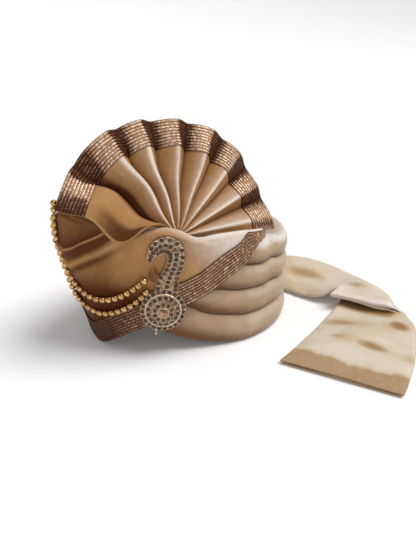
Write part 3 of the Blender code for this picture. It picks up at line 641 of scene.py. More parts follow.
wrap = {
    "columns": 380, "rows": 120, "curl": 4.2 * mm, "tuck": 9 * mm, "cloth": 2.2 * mm,
    "rimAt": 0.86, "tuckAt": 0.95, "rimFade": 6 * mm, "edgeFade": 9 * mm,
    # where each swelling starts or ends, its width and, in mm, how far it stands out
    "bowStart": (30, 12, 0.35), "bowEnd": (60, 8),
    "prowFade": (31, 12), "prowFull": (20, 14, 3.6), "prowRise": (25 * mm, 25 * mm),
    "lowFull": (3.6 * mm, 3.4), "softFull": (5 * mm, 1.2), "lipFull": 4.6, "lipSpread": 7.5,
    "lipDrop": 1.6, "knotFull": 2.4, "knotWide": (6, 2.2), "knotStart": (42, 8), "knotEnd": (70, 10),
    "lowRidge": [(0, 97), (8, 105), (15, 112), (22, 119), (26, 124), (40, 138)],
    "lip": [(0, 117), (8, 122), (14, 129), (20, 135), (24, 140), (40, 152)],
    "softRidge": [(0, 86), (5, 94), (14, 102), (20, 108), (27, 117), (40, 130)],
    "knotFold": [(40, 146), (48, 142.5), (53, 137), (57, 130.5), (61, 125), (70, 117)],
    "waves": [(0.09, 70, 0.4, 0.35), (0.2, -45, 2.2, 0.22), (0.05, 130, 1.0, 0.15)],
    # strokes by the prow, painted highlights and shade: share of the way from the low ridge to the
    # lip, mm above it, mm wide, how much paler
    "strokes": [(0, 1, 2.2, 0.65), (1, 0, 1.0, 0.85), (0.5, 2.5, 5.0, -0.90), (0, -6, 3.5, -0.40)],
    # painted light and shade over the wrap, and a painted highlight on its rolled rim
    "paintedLightAndTone": {
        "back": (45, 40, 0.72), "backRim": (30, 40, 0.25), "rimFrom": (90 * mm, 40 * mm),
        "front": (36, 18, 0.45), "low": (100 * mm, 50 * mm, 1.0), "lowSide": (50, 15),
        "prowFade": (37, 14), "aboveLip": 0.50, "spread": 25, "rim": (-20, 60, 0.3),
    },
}


def ridgeLine(name, turn):
    return through(np.array(wrap[name], float), turn) * mm


def wrapShape(turn, height):
    # how far the cloth stands out: two soft ridges, an overlapping lip with a sharp drop above it,
    # the fold that leaves the knot, and faint pulls
    side = np.abs(turn)
    fade = falls(side, *wrap["prowFade"])
    low, lip, soft = (ridgeLine(name, side) for name in ("lowRidge", "lip", "softRidge"))
    out = bell(height - low, *wrap["lowFull"]) * fade
    out += bell(height - soft, *wrap["softFull"]) * fade
    under = (lip - height) / mm
    drop = smooth(1 + under / wrap["lipDrop"])
    out += wrap["lipFull"] * fade * np.where(under > 0, np.exp(-under / wrap["lipSpread"]), drop)
    out += falls(side, *wrap["prowFull"]) * rises(height, *wrap["prowRise"])
    near = rises(turn, *wrap["knotStart"]) * falls(turn, *wrap["knotEnd"])
    across = (height - ridgeLine("knotFold", turn)) / mm
    out += wrap["knotFull"] * near * bell(across, np.where(across < 0, *wrap["knotWide"]))
    return (out + ripple(turn, height, wrap["waves"])) * mm


def wrapPaintedLight(turn, height):
    # painted light: paler towards the back and the rim, painted shade at the front and low down,
    # painted shadow above the lip, and painted highlights and shade between the ridges by the prow
    side, lightAndToneSettings = np.abs(turn), wrap["paintedLightAndTone"]
    fade = falls(side, *lightAndToneSettings["prowFade"])
    low, lip = ridgeLine("lowRidge", side), ridgeLine("lip", side)
    paintedLightAndTone = rises(side, *lightAndToneSettings["back"]) - falls(side, *lightAndToneSettings["front"])
    paintedLightAndTone = paintedLightAndTone + rises(side, *lightAndToneSettings["backRim"]) * rises(height, *lightAndToneSettings["rimFrom"])
    paintedLightAndTone = paintedLightAndTone - falls(height, *lightAndToneSettings["low"]) * falls(side, *lightAndToneSettings["lowSide"])
    above = (height - lip) / mm
    paintedLightAndTone = paintedLightAndTone - lightAndToneSettings["aboveLip"] * fade * smooth(above / 2) * np.exp(-above.clip(0) / lightAndToneSettings["spread"])
    for share, up, wide, strength in wrap["strokes"]:
        paintedLightAndTone = paintedLightAndTone + strength * fade * bell(height - low - share * (lip - low) - up * mm, wide * mm)
    return paintedLightAndTone


def wrapSheet():
    # rows rise from the lower edge to the rim, roll over it and tuck down inside
    turn = evenTurns(-form["wrapEnd"], form["wrapEnd"], wrap["columns"])
    low, top = edgeHeight(turn), rimHeight(turn)
    share = np.linspace(0, 1, wrap["rows"])[:, None]
    rise = np.clip(share / wrap["rimAt"], 0, 1)
    height = low + rise * (top - wrap["curl"] - low)
    out = wrapShape(turn, height) * smooth((top - height) / wrap["rimFade"] + 0.2)
    out = out * rises(height, low, wrap["edgeFade"])
    over = np.clip((share - wrap["rimAt"]) / (wrap["tuckAt"] - wrap["rimAt"]), 0, 1) * math.pi
    bow = wrap["curl"] * (1 + rises(turn, *wrap["bowStart"]) * falls(turn, *wrap["bowEnd"]))
    height = height + bow * np.sin(over)
    out = np.where(share <= wrap["rimAt"], out, -bow * (1 - np.cos(over)))
    height = height - wrap["tuck"] * np.clip((share - wrap["tuckAt"]) / (1 - wrap["tuckAt"]), 0, 1)
    # painted highlight on the rim where it rolls over
    rim = rises(turn, *wrap["paintedLightAndTone"]["rim"]) * np.sin(over)
    return plan(turn, height, out), wrapPaintedLight(turn, height) + rim


points, paintedLightAndTone = wrapSheet()
mesh = brush(gridMesh("wrap_velvet", points, uv=clothUv(points)), paintedLightAndTone)
wrapPiece = addPiece(mesh, wrapCloth, "velvet", "front_panel", wall=wrap["cloth"], side=-1)

band = {
    "columns": 420, "rows": 41, "width": 25 * mm, "count": 8, "ridge": 0.35 * mm, "off": 0.9 * mm,
    "cloth": 0.7 * mm, "lift": 0.3 * mm, "fromRim": 1 * mm, "follow": 0.8,
    # painted light and shade on the lace band
    "paintedLightAndTone": {"ground": -0.55, "back": (20, 50, 0.5), "front": (30, 25, 0.35), "frontFrom": (-60, 20)},
}


def wrapBand():
    # parallel to the wrap's lower edge, with a ridge for each sewn row
    turn = evenTurns(-form["wrapEnd"], form["wrapEnd"], band["columns"])
    low = edgeHeight(turn) + band["lift"]
    walk = np.gradient(plan(turn, form["midHeight"]), axis=0)
    climb = np.gradient(low) / np.linalg.norm(walk, axis=1)
    tall = band["width"] * np.sqrt(1 + climb**2)
    high = np.minimum(low + tall, rimHeight(turn) - band["fromRim"])
    share = np.linspace(0, 1, band["rows"])[:, None]
    height = low + share * (high - low)
    relief = sewnRows(share, band["count"], band["ridge"])
    folds = wrapShape(turn, height) * rises(height, low, wrap["edgeFade"])
    points = plan(turn, height, band["off"] + relief + band["follow"] * folds)
    # darker all over, then painted light: paler towards the back, painted shade by the prow
    lightAndToneSettings = band["paintedLightAndTone"]
    paintedLightAndTone = lightAndToneSettings["ground"] + rises(np.abs(turn), *lightAndToneSettings["back"])
    paintedLightAndTone = paintedLightAndTone - falls(turn, *lightAndToneSettings["front"]) * rises(turn, *lightAndToneSettings["frontFrom"])
    return points, clothUv(points, share * band["width"]), np.broadcast_to(paintedLightAndTone, height.shape)


points, uv, paintedLightAndTone = wrapBand()
mesh = brush(gridMesh("wrap_lace_band", points, uv=uv), paintedLightAndTone)
bandPiece = addPiece(mesh, wrapLaceLook, "lace", "panel_lace", wall=band["cloth"], side=1)
print("wrap ready")


# the pleated fan

fan = {
    "radius": 130 * mm, "knotTurn": 52, "knotHeight": 129 * mm, "knotRecess": 15 * mm,
    "facing": -25.8, "tilt": 34, "fold": 10 * mm, "lean": 3.0 * mm, "droop": 25 * mm,
    "waver": [(10.5, 13, 0, 6.5 * mm)], "flatten": (0.62, 0.36, 0.62), "fallWay": (0.98, -0.2),
    "steep": 30, "lobe": 0.12,
    "columns": 385, "rows": 96, "start": 0.05, "cloth": 2.0 * mm, "belly": 5 * mm,
    "laceWidth": 31 * mm, "laceOff": 1.25 * mm, "laceCloth": 0.6 * mm, "laceSteps": 46,
    "laceEnd": 1.004, "laceRows": 9, "laceRidge": 0.3 * mm,
    # along the arc: share, then the ray's parts across the fan, ahead and up
    "arc": [
        (0.0, -0.93, -0.135, 0.27), (0.187, -0.649, -0.387, 0.654), (0.30, -0.362, -0.483, 0.80),
        (0.419, -0.014, -0.558, 0.831), (0.555, 0.354, -0.539, 0.762), (0.666, 0.605, -0.532, 0.585),
        (0.77, 0.764, -0.541, 0.334), (0.866, 0.868, -0.498, 0.12), (1.0, 0.945, -0.39, -0.115),
    ],
    # share of the arc and height of each ridge and valley
    "folds": [
        (0.0, 0.0), (0.086, 1.0), (0.152, -1.9), (0.252, 1.0), (0.295, -1.0), (0.352, 1.0),
        (0.395, -1.0), (0.462, 1.0), (0.508, -1.0), (0.576, 1.0), (0.626, -1.0), (0.688, 1.0),
        (0.742, -1.0), (0.805, 1.0), (0.862, -1.0), (0.940, 1.0), (1.0, 0.2),
    ],
    # the front edge: reach, how far it falls outwards and how far it rises
    "edge": [
        (0.0, 0.0, 0.0), (0.1, 0.3, 0.35), (0.2, 0.75, 0.38), (0.42, 0.95, -0.28),
        (0.62, 0.85, -0.27), (0.77, 0.62, -0.12), (1.0, 0.0, -0.10),
    ],
    # painted highlights along the ridges, painted shade in the valleys and by the knot, painted shadow
    # in the gap and under the lobe
    "paintedLightAndTone": {
        "ridge": 0.88, "ridgeWide": 0.14, "lobeRidge": 0.15, "farLess": (0.36, 0.12, 0.52),
        "face": 0.20, "narrow": 0.50, "valley": (-0.3, 0.9, 0.45), "middle": (0.15, 0.05, 0.12),
        "far": (0.55, 0.25, 0.16), "gapAt": 0.149, "gap": (0.03, 0.7), "gapReach": (0.85, 0.3),
        "underStart": (0.002, 0.006), "underEnd": (0.06, 0.03), "underFrom": (0.1, 0.2),
        "underTo": (0.85, 0.45), "knot": (0.3, 0.3, 0.25),
    },
    # painted highlights and shade on the fan's lace
    "lacePaintedLight": {
        "palest": 0.75, "face": (0.7, 1.1), "narrow": 0.9, "valley": (-0.2, 0.6, 0.8),
        "front": (0.062, 0.02, 1.4),
    },
}


def pleatHeight(share):
    # between fold points: wide faces rise fast and flatten to the ridge, narrow ones drop evenly
    table = np.array(fan["folds"])
    at = np.clip(np.searchsorted(table[:, 0], share) - 1, 0, len(table) - 2)
    t = np.clip((share - table[at, 0]) / (table[at + 1, 0] - table[at, 0]), 0, 1)
    first, second = table[at, 1], table[at + 1, 1]
    rising = 0.4 * t + 0.6 * np.sin(t * math.pi / 2)
    return first + (second - first) * np.where(second > first, rising, smooth(t))


def pleatSides():
    # shares of the arc, the pleats' height there, and 1 where a narrow face drops
    share = np.linspace(0, 1, fan["columns"])
    pleat = pleatHeight(share)
    return share, pleat, smooth(-np.gradient(pleat, share) / fan["steep"])


def fanCloth(reach):
    # rays from the knot to the outer arc, moved off the fan's face by the pleats, which grow with
    # the reach, lean over to one side and waver; the front edge falls outwards over the rim
    facing, tilt = math.radians(fan["facing"]), math.radians(fan["tilt"])
    face = np.array([math.cos(facing), math.sin(facing), 0.0])
    chord = np.array([-face[1], face[0], 0.0])
    up = np.array([0.0, 0.0, 1.0])
    normal = math.cos(tilt) * face + math.sin(tilt) * up
    knot = plan(fan["knotTurn"], fan["knotHeight"], -fan["knotRecess"])
    share, pleat, _ = pleatSides()
    aside, ahead, rise = (through(np.array(fan["arc"]), share, k)[:, None] for k in (1, 2, 3))
    ray = fan["radius"] * (aside * chord + ahead * face + rise * up)
    sideways = unit(np.gradient(ray, axis=0))
    reach = reach[:, None]
    swell = reach**0.8 * (1 - rises(reach, *fan["flatten"]))
    arch = np.sin(math.pi * np.clip(reach, 0, 1))
    waver = ripple(reach, share, fan["waver"]) * (1 - share) ** 3 * arch**0.8
    points = knot + reach[..., None] * ray
    points = points + (fan["fold"] * swell * pleat)[..., None] * normal
    points = points + (fan["lean"] * swell * pleat + waver)[..., None] * sideways
    hang = np.clip(1 - share / fan["folds"][1][0], 0, 1)[None, :]
    fall, rise = (fan["droop"] * through(np.array(fan["edge"]), reach, k) for k in (1, 2))
    belly = fan["belly"] * np.sin(math.pi * hang) * arch
    away = fan["fallWay"][0] * face + fan["fallWay"][1] * chord
    return points + (fall * hang + belly)[..., None] * away + (rise * hang**1.3)[..., None] * up


def fanPaintedLight(reach):
    # painted light: painted highlights along the ridges and wide faces, paler towards the middle and
    # far side, painted shade in the valleys, on the narrow faces and by the knot, painted shadow in
    # the gap behind the front lobe and under its fall
    share, pleat, narrow = pleatSides()
    lightAndToneSettings, reach, past = fan["paintedLightAndTone"], reach[:, None], share > fan["lobe"]
    ridge = bell(1 - pleat, lightAndToneSettings["ridgeWide"]) * (1 - narrow) * np.where(past, 1, lightAndToneSettings["lobeRidge"])
    weight = lightAndToneSettings["ridge"] - rises(share, *lightAndToneSettings["farLess"])
    paintedLightAndTone = weight * ridge + lightAndToneSettings["face"] * pleat.clip(-1, 1) * past - lightAndToneSettings["narrow"] * narrow
    paintedLightAndTone = paintedLightAndTone - falls(pleat, *lightAndToneSettings["valley"])
    paintedLightAndTone = paintedLightAndTone + rises(share, *lightAndToneSettings["middle"]) + rises(share, *lightAndToneSettings["far"])
    paintedLightAndTone = paintedLightAndTone * (0.5 + 0.5 * np.sin(math.pi * np.clip(reach, 0, 1)) ** 0.5)
    gap = bell(share - lightAndToneSettings["gapAt"], *lightAndToneSettings["gap"]) * falls(reach, *lightAndToneSettings["gapReach"])
    under = falls(share, *lightAndToneSettings["underEnd"]) * rises(share, *lightAndToneSettings["underStart"])
    under = under * rises(reach, *lightAndToneSettings["underFrom"]) * falls(reach, *lightAndToneSettings["underTo"])
    return paintedLightAndTone - gap - under - falls(reach, *lightAndToneSettings["knot"])


def fanLace():
    # the fan's outer border again, lifted off its face, with a ridge for each sewn row
    reach = np.linspace(1 - fan["laceWidth"] / fan["radius"], fan["laceEnd"], fan["laceSteps"])
    points = fanCloth(reach)
    out = (reach - reach[0])[:, None] / (reach[-1] - reach[0])
    relief = sewnRows(out, fan["laceRows"], fan["laceRidge"])
    points = points + (fan["laceOff"] + relief)[..., None] * gridNormals(points)
    share, pleat, narrow = pleatSides()
    # painted light: palest on the wide faces, painted shade on the narrow faces, in the valleys and
    # under the front lobe
    lightAndToneSettings = fan["lacePaintedLight"]
    paintedLightAndTone = bell(lightAndToneSettings["palest"] - pleat, *lightAndToneSettings["face"]) * (1 - narrow) - lightAndToneSettings["narrow"] * narrow
    paintedLightAndTone = paintedLightAndTone - falls(pleat, *lightAndToneSettings["valley"]) - falls(share, *lightAndToneSettings["front"])
    return points, clothUv(points, out * fan["laceWidth"]), np.broadcast_to(paintedLightAndTone, points.shape[:2])


reach = np.linspace(fan["start"], 1, fan["rows"])
points = fanCloth(reach)
mesh = brush(gridMesh("fan_velvet", points, uv=clothUv(points)), fanPaintedLight(reach))
fanPiece = addPiece(mesh, wrapCloth, "velvet", "fan", wall=fan["cloth"], side=0)

points, uv, paintedLightAndTone = fanLace()
mesh = brush(gridMesh("fan_lace_border", points, uv=uv), paintedLightAndTone)
fanLacePiece = addPiece(mesh, fanLaceLook, "lace", "fan_lace", wall=fan["laceCloth"], side=1)
print("fan ready")


# the brooch

brooch = {
    "turn": 39, "rise": 50 * mm, "rest": 4, "lean": 8, "off": 2.4 * mm, "plate": 2.0 * mm,
    "u": 8.5 * mm, "v": 4 * mm, "radius": 24 * mm, "dome": 18.6 * mm, "domeRise": 6.5 * mm,
    "stone": 2.42 * mm, "centre": 5.0 * mm, "claw": 0.21, "plumeHeight": 85 * mm, "pitch": 5.3 * mm,
    "stoneRings": [(23, 21.6 * mm, 1.0), (16, 15.2 * mm, 0.98), (10, 9.0 * mm, 0.95)],
    "plume": [
        (0.14, 0.27, 0.27), (0.165, 0.42, 0.275), (0.215, 0.54, 0.22), (0.27, 0.70, 0.21),
        (0.265, 0.83, 0.21), (0.17, 0.905, 0.21), (0.065, 0.885, 0.19), (-0.015, 0.80, 0.13),
        (-0.05, 0.70, 0.05),
    ],
    "amber": (-0.3 * mm, 47 * mm, 5.2 * mm, 8.6 * mm, 2.6 * mm), "pendant": 2.4 * mm,
    "pendantAside": -8 * mm, "pendantDown": 25.5 * mm,
}


def broochAxes():
    foot = plan(brooch["turn"], brooch["rise"], brooch["off"])
    rest = brooch["turn"] + brooch["rest"]
    side = unit(plan(rest + 1, brooch["rise"]) - plan(rest - 1, brooch["rise"]))
    tip = plan(brooch["turn"] + brooch["lean"], brooch["plumeHeight"] + brooch["rise"], brooch["off"])
    out = unit(np.cross(side, tip - foot))
    return foot, side, np.cross(out, side), out


broochFoot, broochSide, broochUp, broochOut = broochAxes()
broochFrame = np.stack([broochSide, broochUp, broochOut])


def toBrooch(points):
    return broochFoot + points @ broochFrame


def overDome(rho):
    # a point over the rosette's middle, as high as its dome is at a radius
    return toBrooch(np.array([[brooch["u"], brooch["v"], domeHeight(rho)]]))


def domeHeight(rho):
    # a cosine dome on the rosette's plate
    inside = np.clip(rho / brooch["dome"], 0, 1)
    return brooch["plate"] + brooch["domeRise"] * np.cos(inside * math.pi / 2) ** 0.8


def rosette():
    # turned round its middle: down the dome, over a rounded rim, across the scalloped outer ring
    angle = np.linspace(0, 2 * math.pi, 97)[:-1][None, :]
    rho = np.concatenate([np.linspace(0, 1, 14) * brooch["dome"], [19.3 * mm, 20 * mm]])
    height = domeHeight(rho)
    height[-3:-1] += 0.9 * mm
    rho = np.concatenate([rho, np.array([22, 23.4, 24, 24, 23, 0]) * mm])
    height = np.concatenate([height, np.array([2.0, 1.9, 1.4, 0.4, 0, 0]) * mm])
    scallop = 1 + 0.022 * np.cos(brooch["stoneRings"][0][0] * angle) * (rho[:, None] > 22.5 * mm)
    x = brooch["u"] + rho[:, None] * scallop * np.cos(angle)
    y = brooch["v"] + rho[:, None] * scallop * np.sin(angle)
    return toBrooch(np.stack([x, y, np.broadcast_to(height[:, None], x.shape)], -1))


def plumeRoute(count):
    table = np.array(brooch["plume"]) * brooch["plumeHeight"]
    points, length = spline(table, count)
    ahead = unit(np.gradient(points[:, :2], axis=0))
    return points[:, :2], points[:, 2], np.stack([ahead[:, 1], -ahead[:, 0]], 1), length


def plumeBand():
    # a flat band with rounded flanks, swept along the plume's middle line
    middle, width, side, _ = plumeRoute(90)
    across = np.array([0, -0.5, -0.5, -0.485, -0.44, 0, 0.44, 0.485, 0.5, 0.5])
    level = np.array([0.15, 0.15, 1.0, 1.6, 1.95, 2.15, 1.95, 1.6, 1.0, 0.15]) * mm
    flat = middle[:, None, :] + side[:, None, :] * (across[None, :] * width[:, None])[..., None]
    band = np.concatenate([flat, np.broadcast_to(level, flat.shape[:2])[..., None]], -1)
    ends = [np.broadcast_to(row.mean(0), row.shape)[None] for row in (band[0], band[-1])]
    return toBrooch(np.concatenate([ends[0], band, ends[1]]))


def stonePlaces():
    # rings of stones on the rosette and lanes of them along the plume: centre, way up and size
    places, ways, sizes = [], [], []
    for count, rho, size in brooch["stoneRings"]:
        angle = 2 * math.pi * (np.arange(count) + 0.5) / count
        x, y, flat = np.cos(angle), np.sin(angle), np.ones(count)
        slope = (domeHeight(rho + 1 * mm) - domeHeight(rho - 1 * mm)) / (2 * mm)
        spot = np.stack([brooch["u"] + rho * x, brooch["v"] + rho * y, domeHeight(rho) * flat], 1)
        places.append(spot)
        ways.append(unit(np.stack([-slope * x, -slope * y, flat], 1)))
        sizes.append(brooch["stone"] * size * flat)
    length = plumeRoute(2)[3]
    route = plumeRoute(2 * int(length / brooch["pitch"]) + 1)
    for lane in (-1, 0, 1):
        middle, width, side = (values[2 if lane else 1 :: 2] for values in route[:3])
        keep = width > (13 * mm if lane else 2 * mm)
        keep &= np.hypot(middle[:, 0] - brooch["u"], middle[:, 1] - brooch["v"]) > brooch["radius"]
        spot = middle + side * (lane * (width / 2 - 1.12 * brooch["stone"]))[:, None]
        spot = spot[keep]
        places.append(np.column_stack([spot, np.full(len(spot), 2.0 * mm)]))
        ways.append(np.tile([0.0, 0.0, 1.0], (len(spot), 1)))
        sizes.append(np.full(len(spot), brooch["stone"]))
    return np.vstack(places), np.vstack(ways), np.concatenate(sizes)


def axesFor(ways, spin):
    # three axes for each copy, the third one along its way up
    helper = np.tile([1.0, 0.0, 0.0], (len(ways), 1))
    side = unit(helper - ways * np.sum(helper * ways, 1, keepdims=True))
    other = np.cross(ways, side)
    turned = side * np.cos(spin)[:, None] + other * np.sin(spin)[:, None]
    return np.stack([turned, np.cross(ways, turned), ways], 1) @ broochFrame


def joined(name, meshes):
    # one mesh out of several
    shape = bmesh.new()
    for mesh in meshes:
        shape.from_mesh(mesh)
        bpy.data.meshes.remove(mesh)
    whole = bpy.data.meshes.new(name)
    shape.to_mesh(whole)
    shape.free()
    return whole


places, ways, sizes = stonePlaces()
frames = axesFor(ways, chance.uniform(0, 1, len(places)))
centres = toBrooch(places)
oneFrame = broochFrame[None]
gem = rings([(0.90, -0.25), (1.06, 0.12), (0.88, 0.42), (0.56, 0.54)], 8, 0.3)
bigGem = rings([(0.85, -0.2), (1.0, 0.08), (0.92, 0.26), (0.74, 0.42), (0.5, 0.5)], 12, 0.5)
bezel = rings([(1.0, -0.45), (1.14, -0.4), (1.17, -0.05), (1.14, 0.14), (1.06, 0.18), (1.0, 0.0)], 14)
ball = rings([(0.45, -0.9), (0.95, -0.4), (1.0, 0.1), (0.8, 0.62), (0.4, 0.92)], 8)
domeRim = rings([(0.96, -0.02), (0.965, 0.075), (1.01, 0.11), (1.055, 0.075), (1.06, -0.02)], 72)
spot = 2 * math.pi * (np.arange(4) + 0.5) / 4
claws = np.stack([1.12 * np.cos(spot), 1.16 * np.sin(spot), np.full(4, 0.25)], 1)
clawAt = centres[:, None, :] + np.einsum("pk,nkj->npj", claws, frames) * sizes[:, None, None]
clawFrames, clawSizes = np.repeat(frames, 4, axis=0), np.repeat(sizes * brooch["claw"], 4)
plates = [("rosette", rosette()), ("plume", plumeBand())]
plates = [tidy(gridMesh(name, points, around=True)) for name, points in plates]
mesh = joined("brooch_plate", plates)
addPiece(mesh, plateLook, "brooch_gold", "brooch")
mesh = joined("brooch_setting", [
    copies("bezels", bezel, centres, frames, sizes),
    copies("rim", domeRim, overDome(brooch["dome"]), oneFrame, np.array([brooch["dome"]])),
    copies("claws", ball, clawAt.reshape(-1, 3), clawFrames, clawSizes),
    copies("centre_bezel", bezel, overDome(0.0), oneFrame, np.array([brooch["centre"]])),
])
addPiece(mesh, settingLook, "brooch_gold")
mesh = copies("brooch_stones", gem, centres, frames, sizes, False)
addPiece(mesh, stoneGlass, "stone")
mesh = copies("rosette_stone", bigGem, overDome(0.0), oneFrame, np.array([brooch["centre"]]), False)
addPiece(mesh, centreGlass, "stone", "centre_stone")


def amberShape():
    # an ellipsoid that narrows to a point at its top
    u, v, wide, tall, deep = brooch["amber"]
    polar = np.radians(np.linspace(-90, 90, 28))[:, None]
    angle = np.radians(np.linspace(0, 360, 41)[:-1])[None, :]
    rise = np.sin(polar)
    taper = np.cos(polar) * (1 - 0.62 * smooth((rise + 0.2) / 1.2))
    x = u + wide * taper * np.cos(angle)
    z = 1.8 * mm + deep + deep * taper * np.sin(angle)
    return toBrooch(np.stack(np.broadcast_arrays(x, v + tall * rise, z), -1))


mesh = tidy(gridMesh("amber_stone", amberShape(), around=True))
addPiece(mesh, amberLook, "amber", "amber_drop")

pendantSize = np.array([brooch["pendant"]])
pendantAt = np.array([[
    brooch["u"] + brooch["pendantAside"], brooch["v"] - brooch["pendantDown"], brooch["pendant"] * 0.9,
]])
loopAt = pendantAt + np.array([0, brooch["pendant"] * 1.1, 0])
drop = rings([(0.1, -1.5), (0.55, -1.1), (0.72, -0.7), (0.55, -0.2), (0.2, 0.25), (0.12, 0.9)], 14)
loop = rings([(0.34, -0.07), (0.44, -0.12), (0.52, 0.0), (0.44, 0.12), (0.34, 0.07)], 14)
dropFrame = np.stack([broochSide, -broochOut, broochUp])[None]
mesh = joined("pendant_drop", [
    copies("drop", drop, toBrooch(pendantAt), dropFrame, pendantSize),
    copies("loop", loop, toBrooch(loopAt), oneFrame, pendantSize),
])
addPiece(mesh, settingLook, "brooch_gold", "brooch_pendant")
print("brooch ready")


# the strands of beads

beads = {
    "size": 7.6 * mm, "thread": 0.5 * mm, "off": 0.9 * mm, "offProw": 2.0 * mm, "prowSide": 4,
    "strands": [
        [
            (38.8, 0.585), (37, 0.555), (29, 0.470), (22, 0.425), (14, 0.408), (7, 0.428), (1, 0.475),
            (-4, 0.56), (-6, 0.70), (-7, 0.84), (-7, 0.99), (-5.2, 1.065),
        ],
        [
            (38.5, 0.505), (36.5, 0.465), (32, 0.405), (26, 0.352), (19, 0.312), (12, 0.298),
            (4, 0.318), (-4, 0.372), (-10, 0.47), (-12.5, 0.62), (-13, 0.80), (-13, 0.94),
        ],
    ],
}
polar = np.radians(np.linspace(-80, 80, 11))
bead = rings(np.stack([np.cos(polar), np.sin(polar)], 1), 18)


def sideOf(ways):
    return unit(np.cross(ways, np.array([0.3, 0.2, 1.0])))


def strand(name, route):
    # balls evenly spaced on the curve through the stops, on a thin thread
    turn, share = np.array(route, float).T
    rising = falls(turn, beads["prowSide"], 2 * beads["prowSide"])
    off = beads["size"] / 2 + beads["off"] + (beads["offProw"] - beads["off"]) * rising
    stops = plan(turn, share * form["prowHeight"], off)
    count = int(spline(stops, 2)[1] / beads["size"])
    line, _ = spline(stops, 2 * count + 1)
    centres = line[1::2]
    ways = unit(np.gradient(centres, axis=0))
    axes = np.stack([sideOf(ways), np.cross(ways, sideOf(ways)), ways], 1)
    sizes = beads["size"] / 2 * (0.985 + chance.uniform(-0.01, 0.01, count))
    balls = copies(name, bead, centres, axes, sizes)
    ahead = unit(np.gradient(line, axis=0))
    side = sideOf(ahead)[:, None, :]
    other = np.cross(ahead[:, None, :], side)
    angle = np.radians(np.arange(0, 360, 60))[None, :, None]
    tube = line[:, None, :] + beads["thread"] * (np.cos(angle) * side + np.sin(angle) * other)
    ends = [np.broadcast_to(tube[k].mean(0), tube[k].shape)[None] for k in (0, -1)]
    thread = tidy(gridMesh("thread", np.concatenate([ends[0], tube, ends[1]]), around=True))
    return joined(name, [balls, thread])


for number, route in enumerate(beads["strands"], 1):
    mesh = strand(f"bead_string_{number}", route)
    addPiece(mesh, goldLook, "bead_gold", f"bead_strand_{number}")
print("beads ready")


# the tail, a flat sleeve laid on the table

tail = {
    "width": 134 * mm, "length": 373 * mm, "lift": 14 * mm, "turn": 184, "spread": 16, "gap": 0.9 * mm,
    "rows": 220, "across": 60, "thick": 4.6 * mm, "cloth": 1.2 * mm,
    "foldAt": 0.49, "foldLong": 0.13, "foldDeep": 17 * mm, "foldHigh": 11 * mm, "foldWay": -72,
    "foldSlant": (-1, 1.3, 0.055), "foldFade": 0.3, "foldTop": (0.2, 0.6), "foldFrom": (0.25, 0.18),
    "begin": 0.06, "calm": 0.15, "rest": 1.2, "thin": (0.94, 0.06, 0.55), "hemAt": 0.92,
    "hemWaves": [(3.1, 0, 0.9, 0.010), (11, 0, 1, 0.004), (29, 0, 0, 0.002)],
    # tone of the hem, start and patches, a painted highlight along the fold and painted shadow in its
    # pocket
    "paintedLightAndTone": {
        "ground": 0.32, "hem": (-0.01, 0.03, 0.95), "start": (0.3, 0.2, 0.25), "patch": 1.5,
        "foldAt": 0.24, "fold": (0.12, 0.4), "pocket": 2.0, "pocketPast": 0.018, "pocketFade": 0.045,
        "pocketFrom": (0.42, 0.1), "pocketSide": (0.75, 0.4),
    },
    # share of the length, heading, direction across, width, and the lift of both edges and middle
    "path": [
        (0.0, 95, 184, 0.36, 0.2, 0.8, 1.3), (0.069, 64, 156, 0.56, 0.1, 0.9, 1.4),
        (0.143, 35, 135, 0.72, 0.1, 0.6, 1.3), (0.237, 15, 118, 0.77, 0.1, 0.4, 0.9),
        (0.322, 0, 105, 0.68, 0.3, 0.3, 0.5), (0.414, -19, 74, 0.45, 0.5, 0.5, 0.3),
        (0.48, -33, 30, 0.56, 0.3, 0.4, 0.3), (0.54, -44, 20, 0.62, 0.2, 0.4, 0.3),
        (0.617, -57, 24, 0.72, 0.1, 0.4, 0.4), (0.813, -66, 21, 0.88, 0.1, 0.3, 0.2),
        (1.0, -71, 18, 0.96, 0.0, 0.1, 0.0),
    ],
    "waves": [(9, 2.1, 0.3, 1.0), (15, -2.6, 1.4, 0.9), (24, 3.9, 2.6, 0.6), (33, -5.2, 0.9, 0.4)],
    # deeper patches: place along and half length, place across, half width, depth
    "patches": [
        (0.20, 0.09, 0.1, 0.35, 0.55), (0.41, 0.045, 0.0, 0.45, 0.6), (0.685, 0.036, -0.62, 0.5, 0.62),
        (0.66, 0.035, 0.66, 0.28, 0.8), (0.815, 0.028, 0.25, 0.36, 0.75),
        (0.80, 0.018, -0.45, 0.2, 0.5), (0.83, 0.02, 0.98, 0.2, 0.45),
        (0.75, 0.02, -0.95, 0.2, 0.4), (0.24, 0.05, -0.9, 0.25, 0.4),
    ],
}


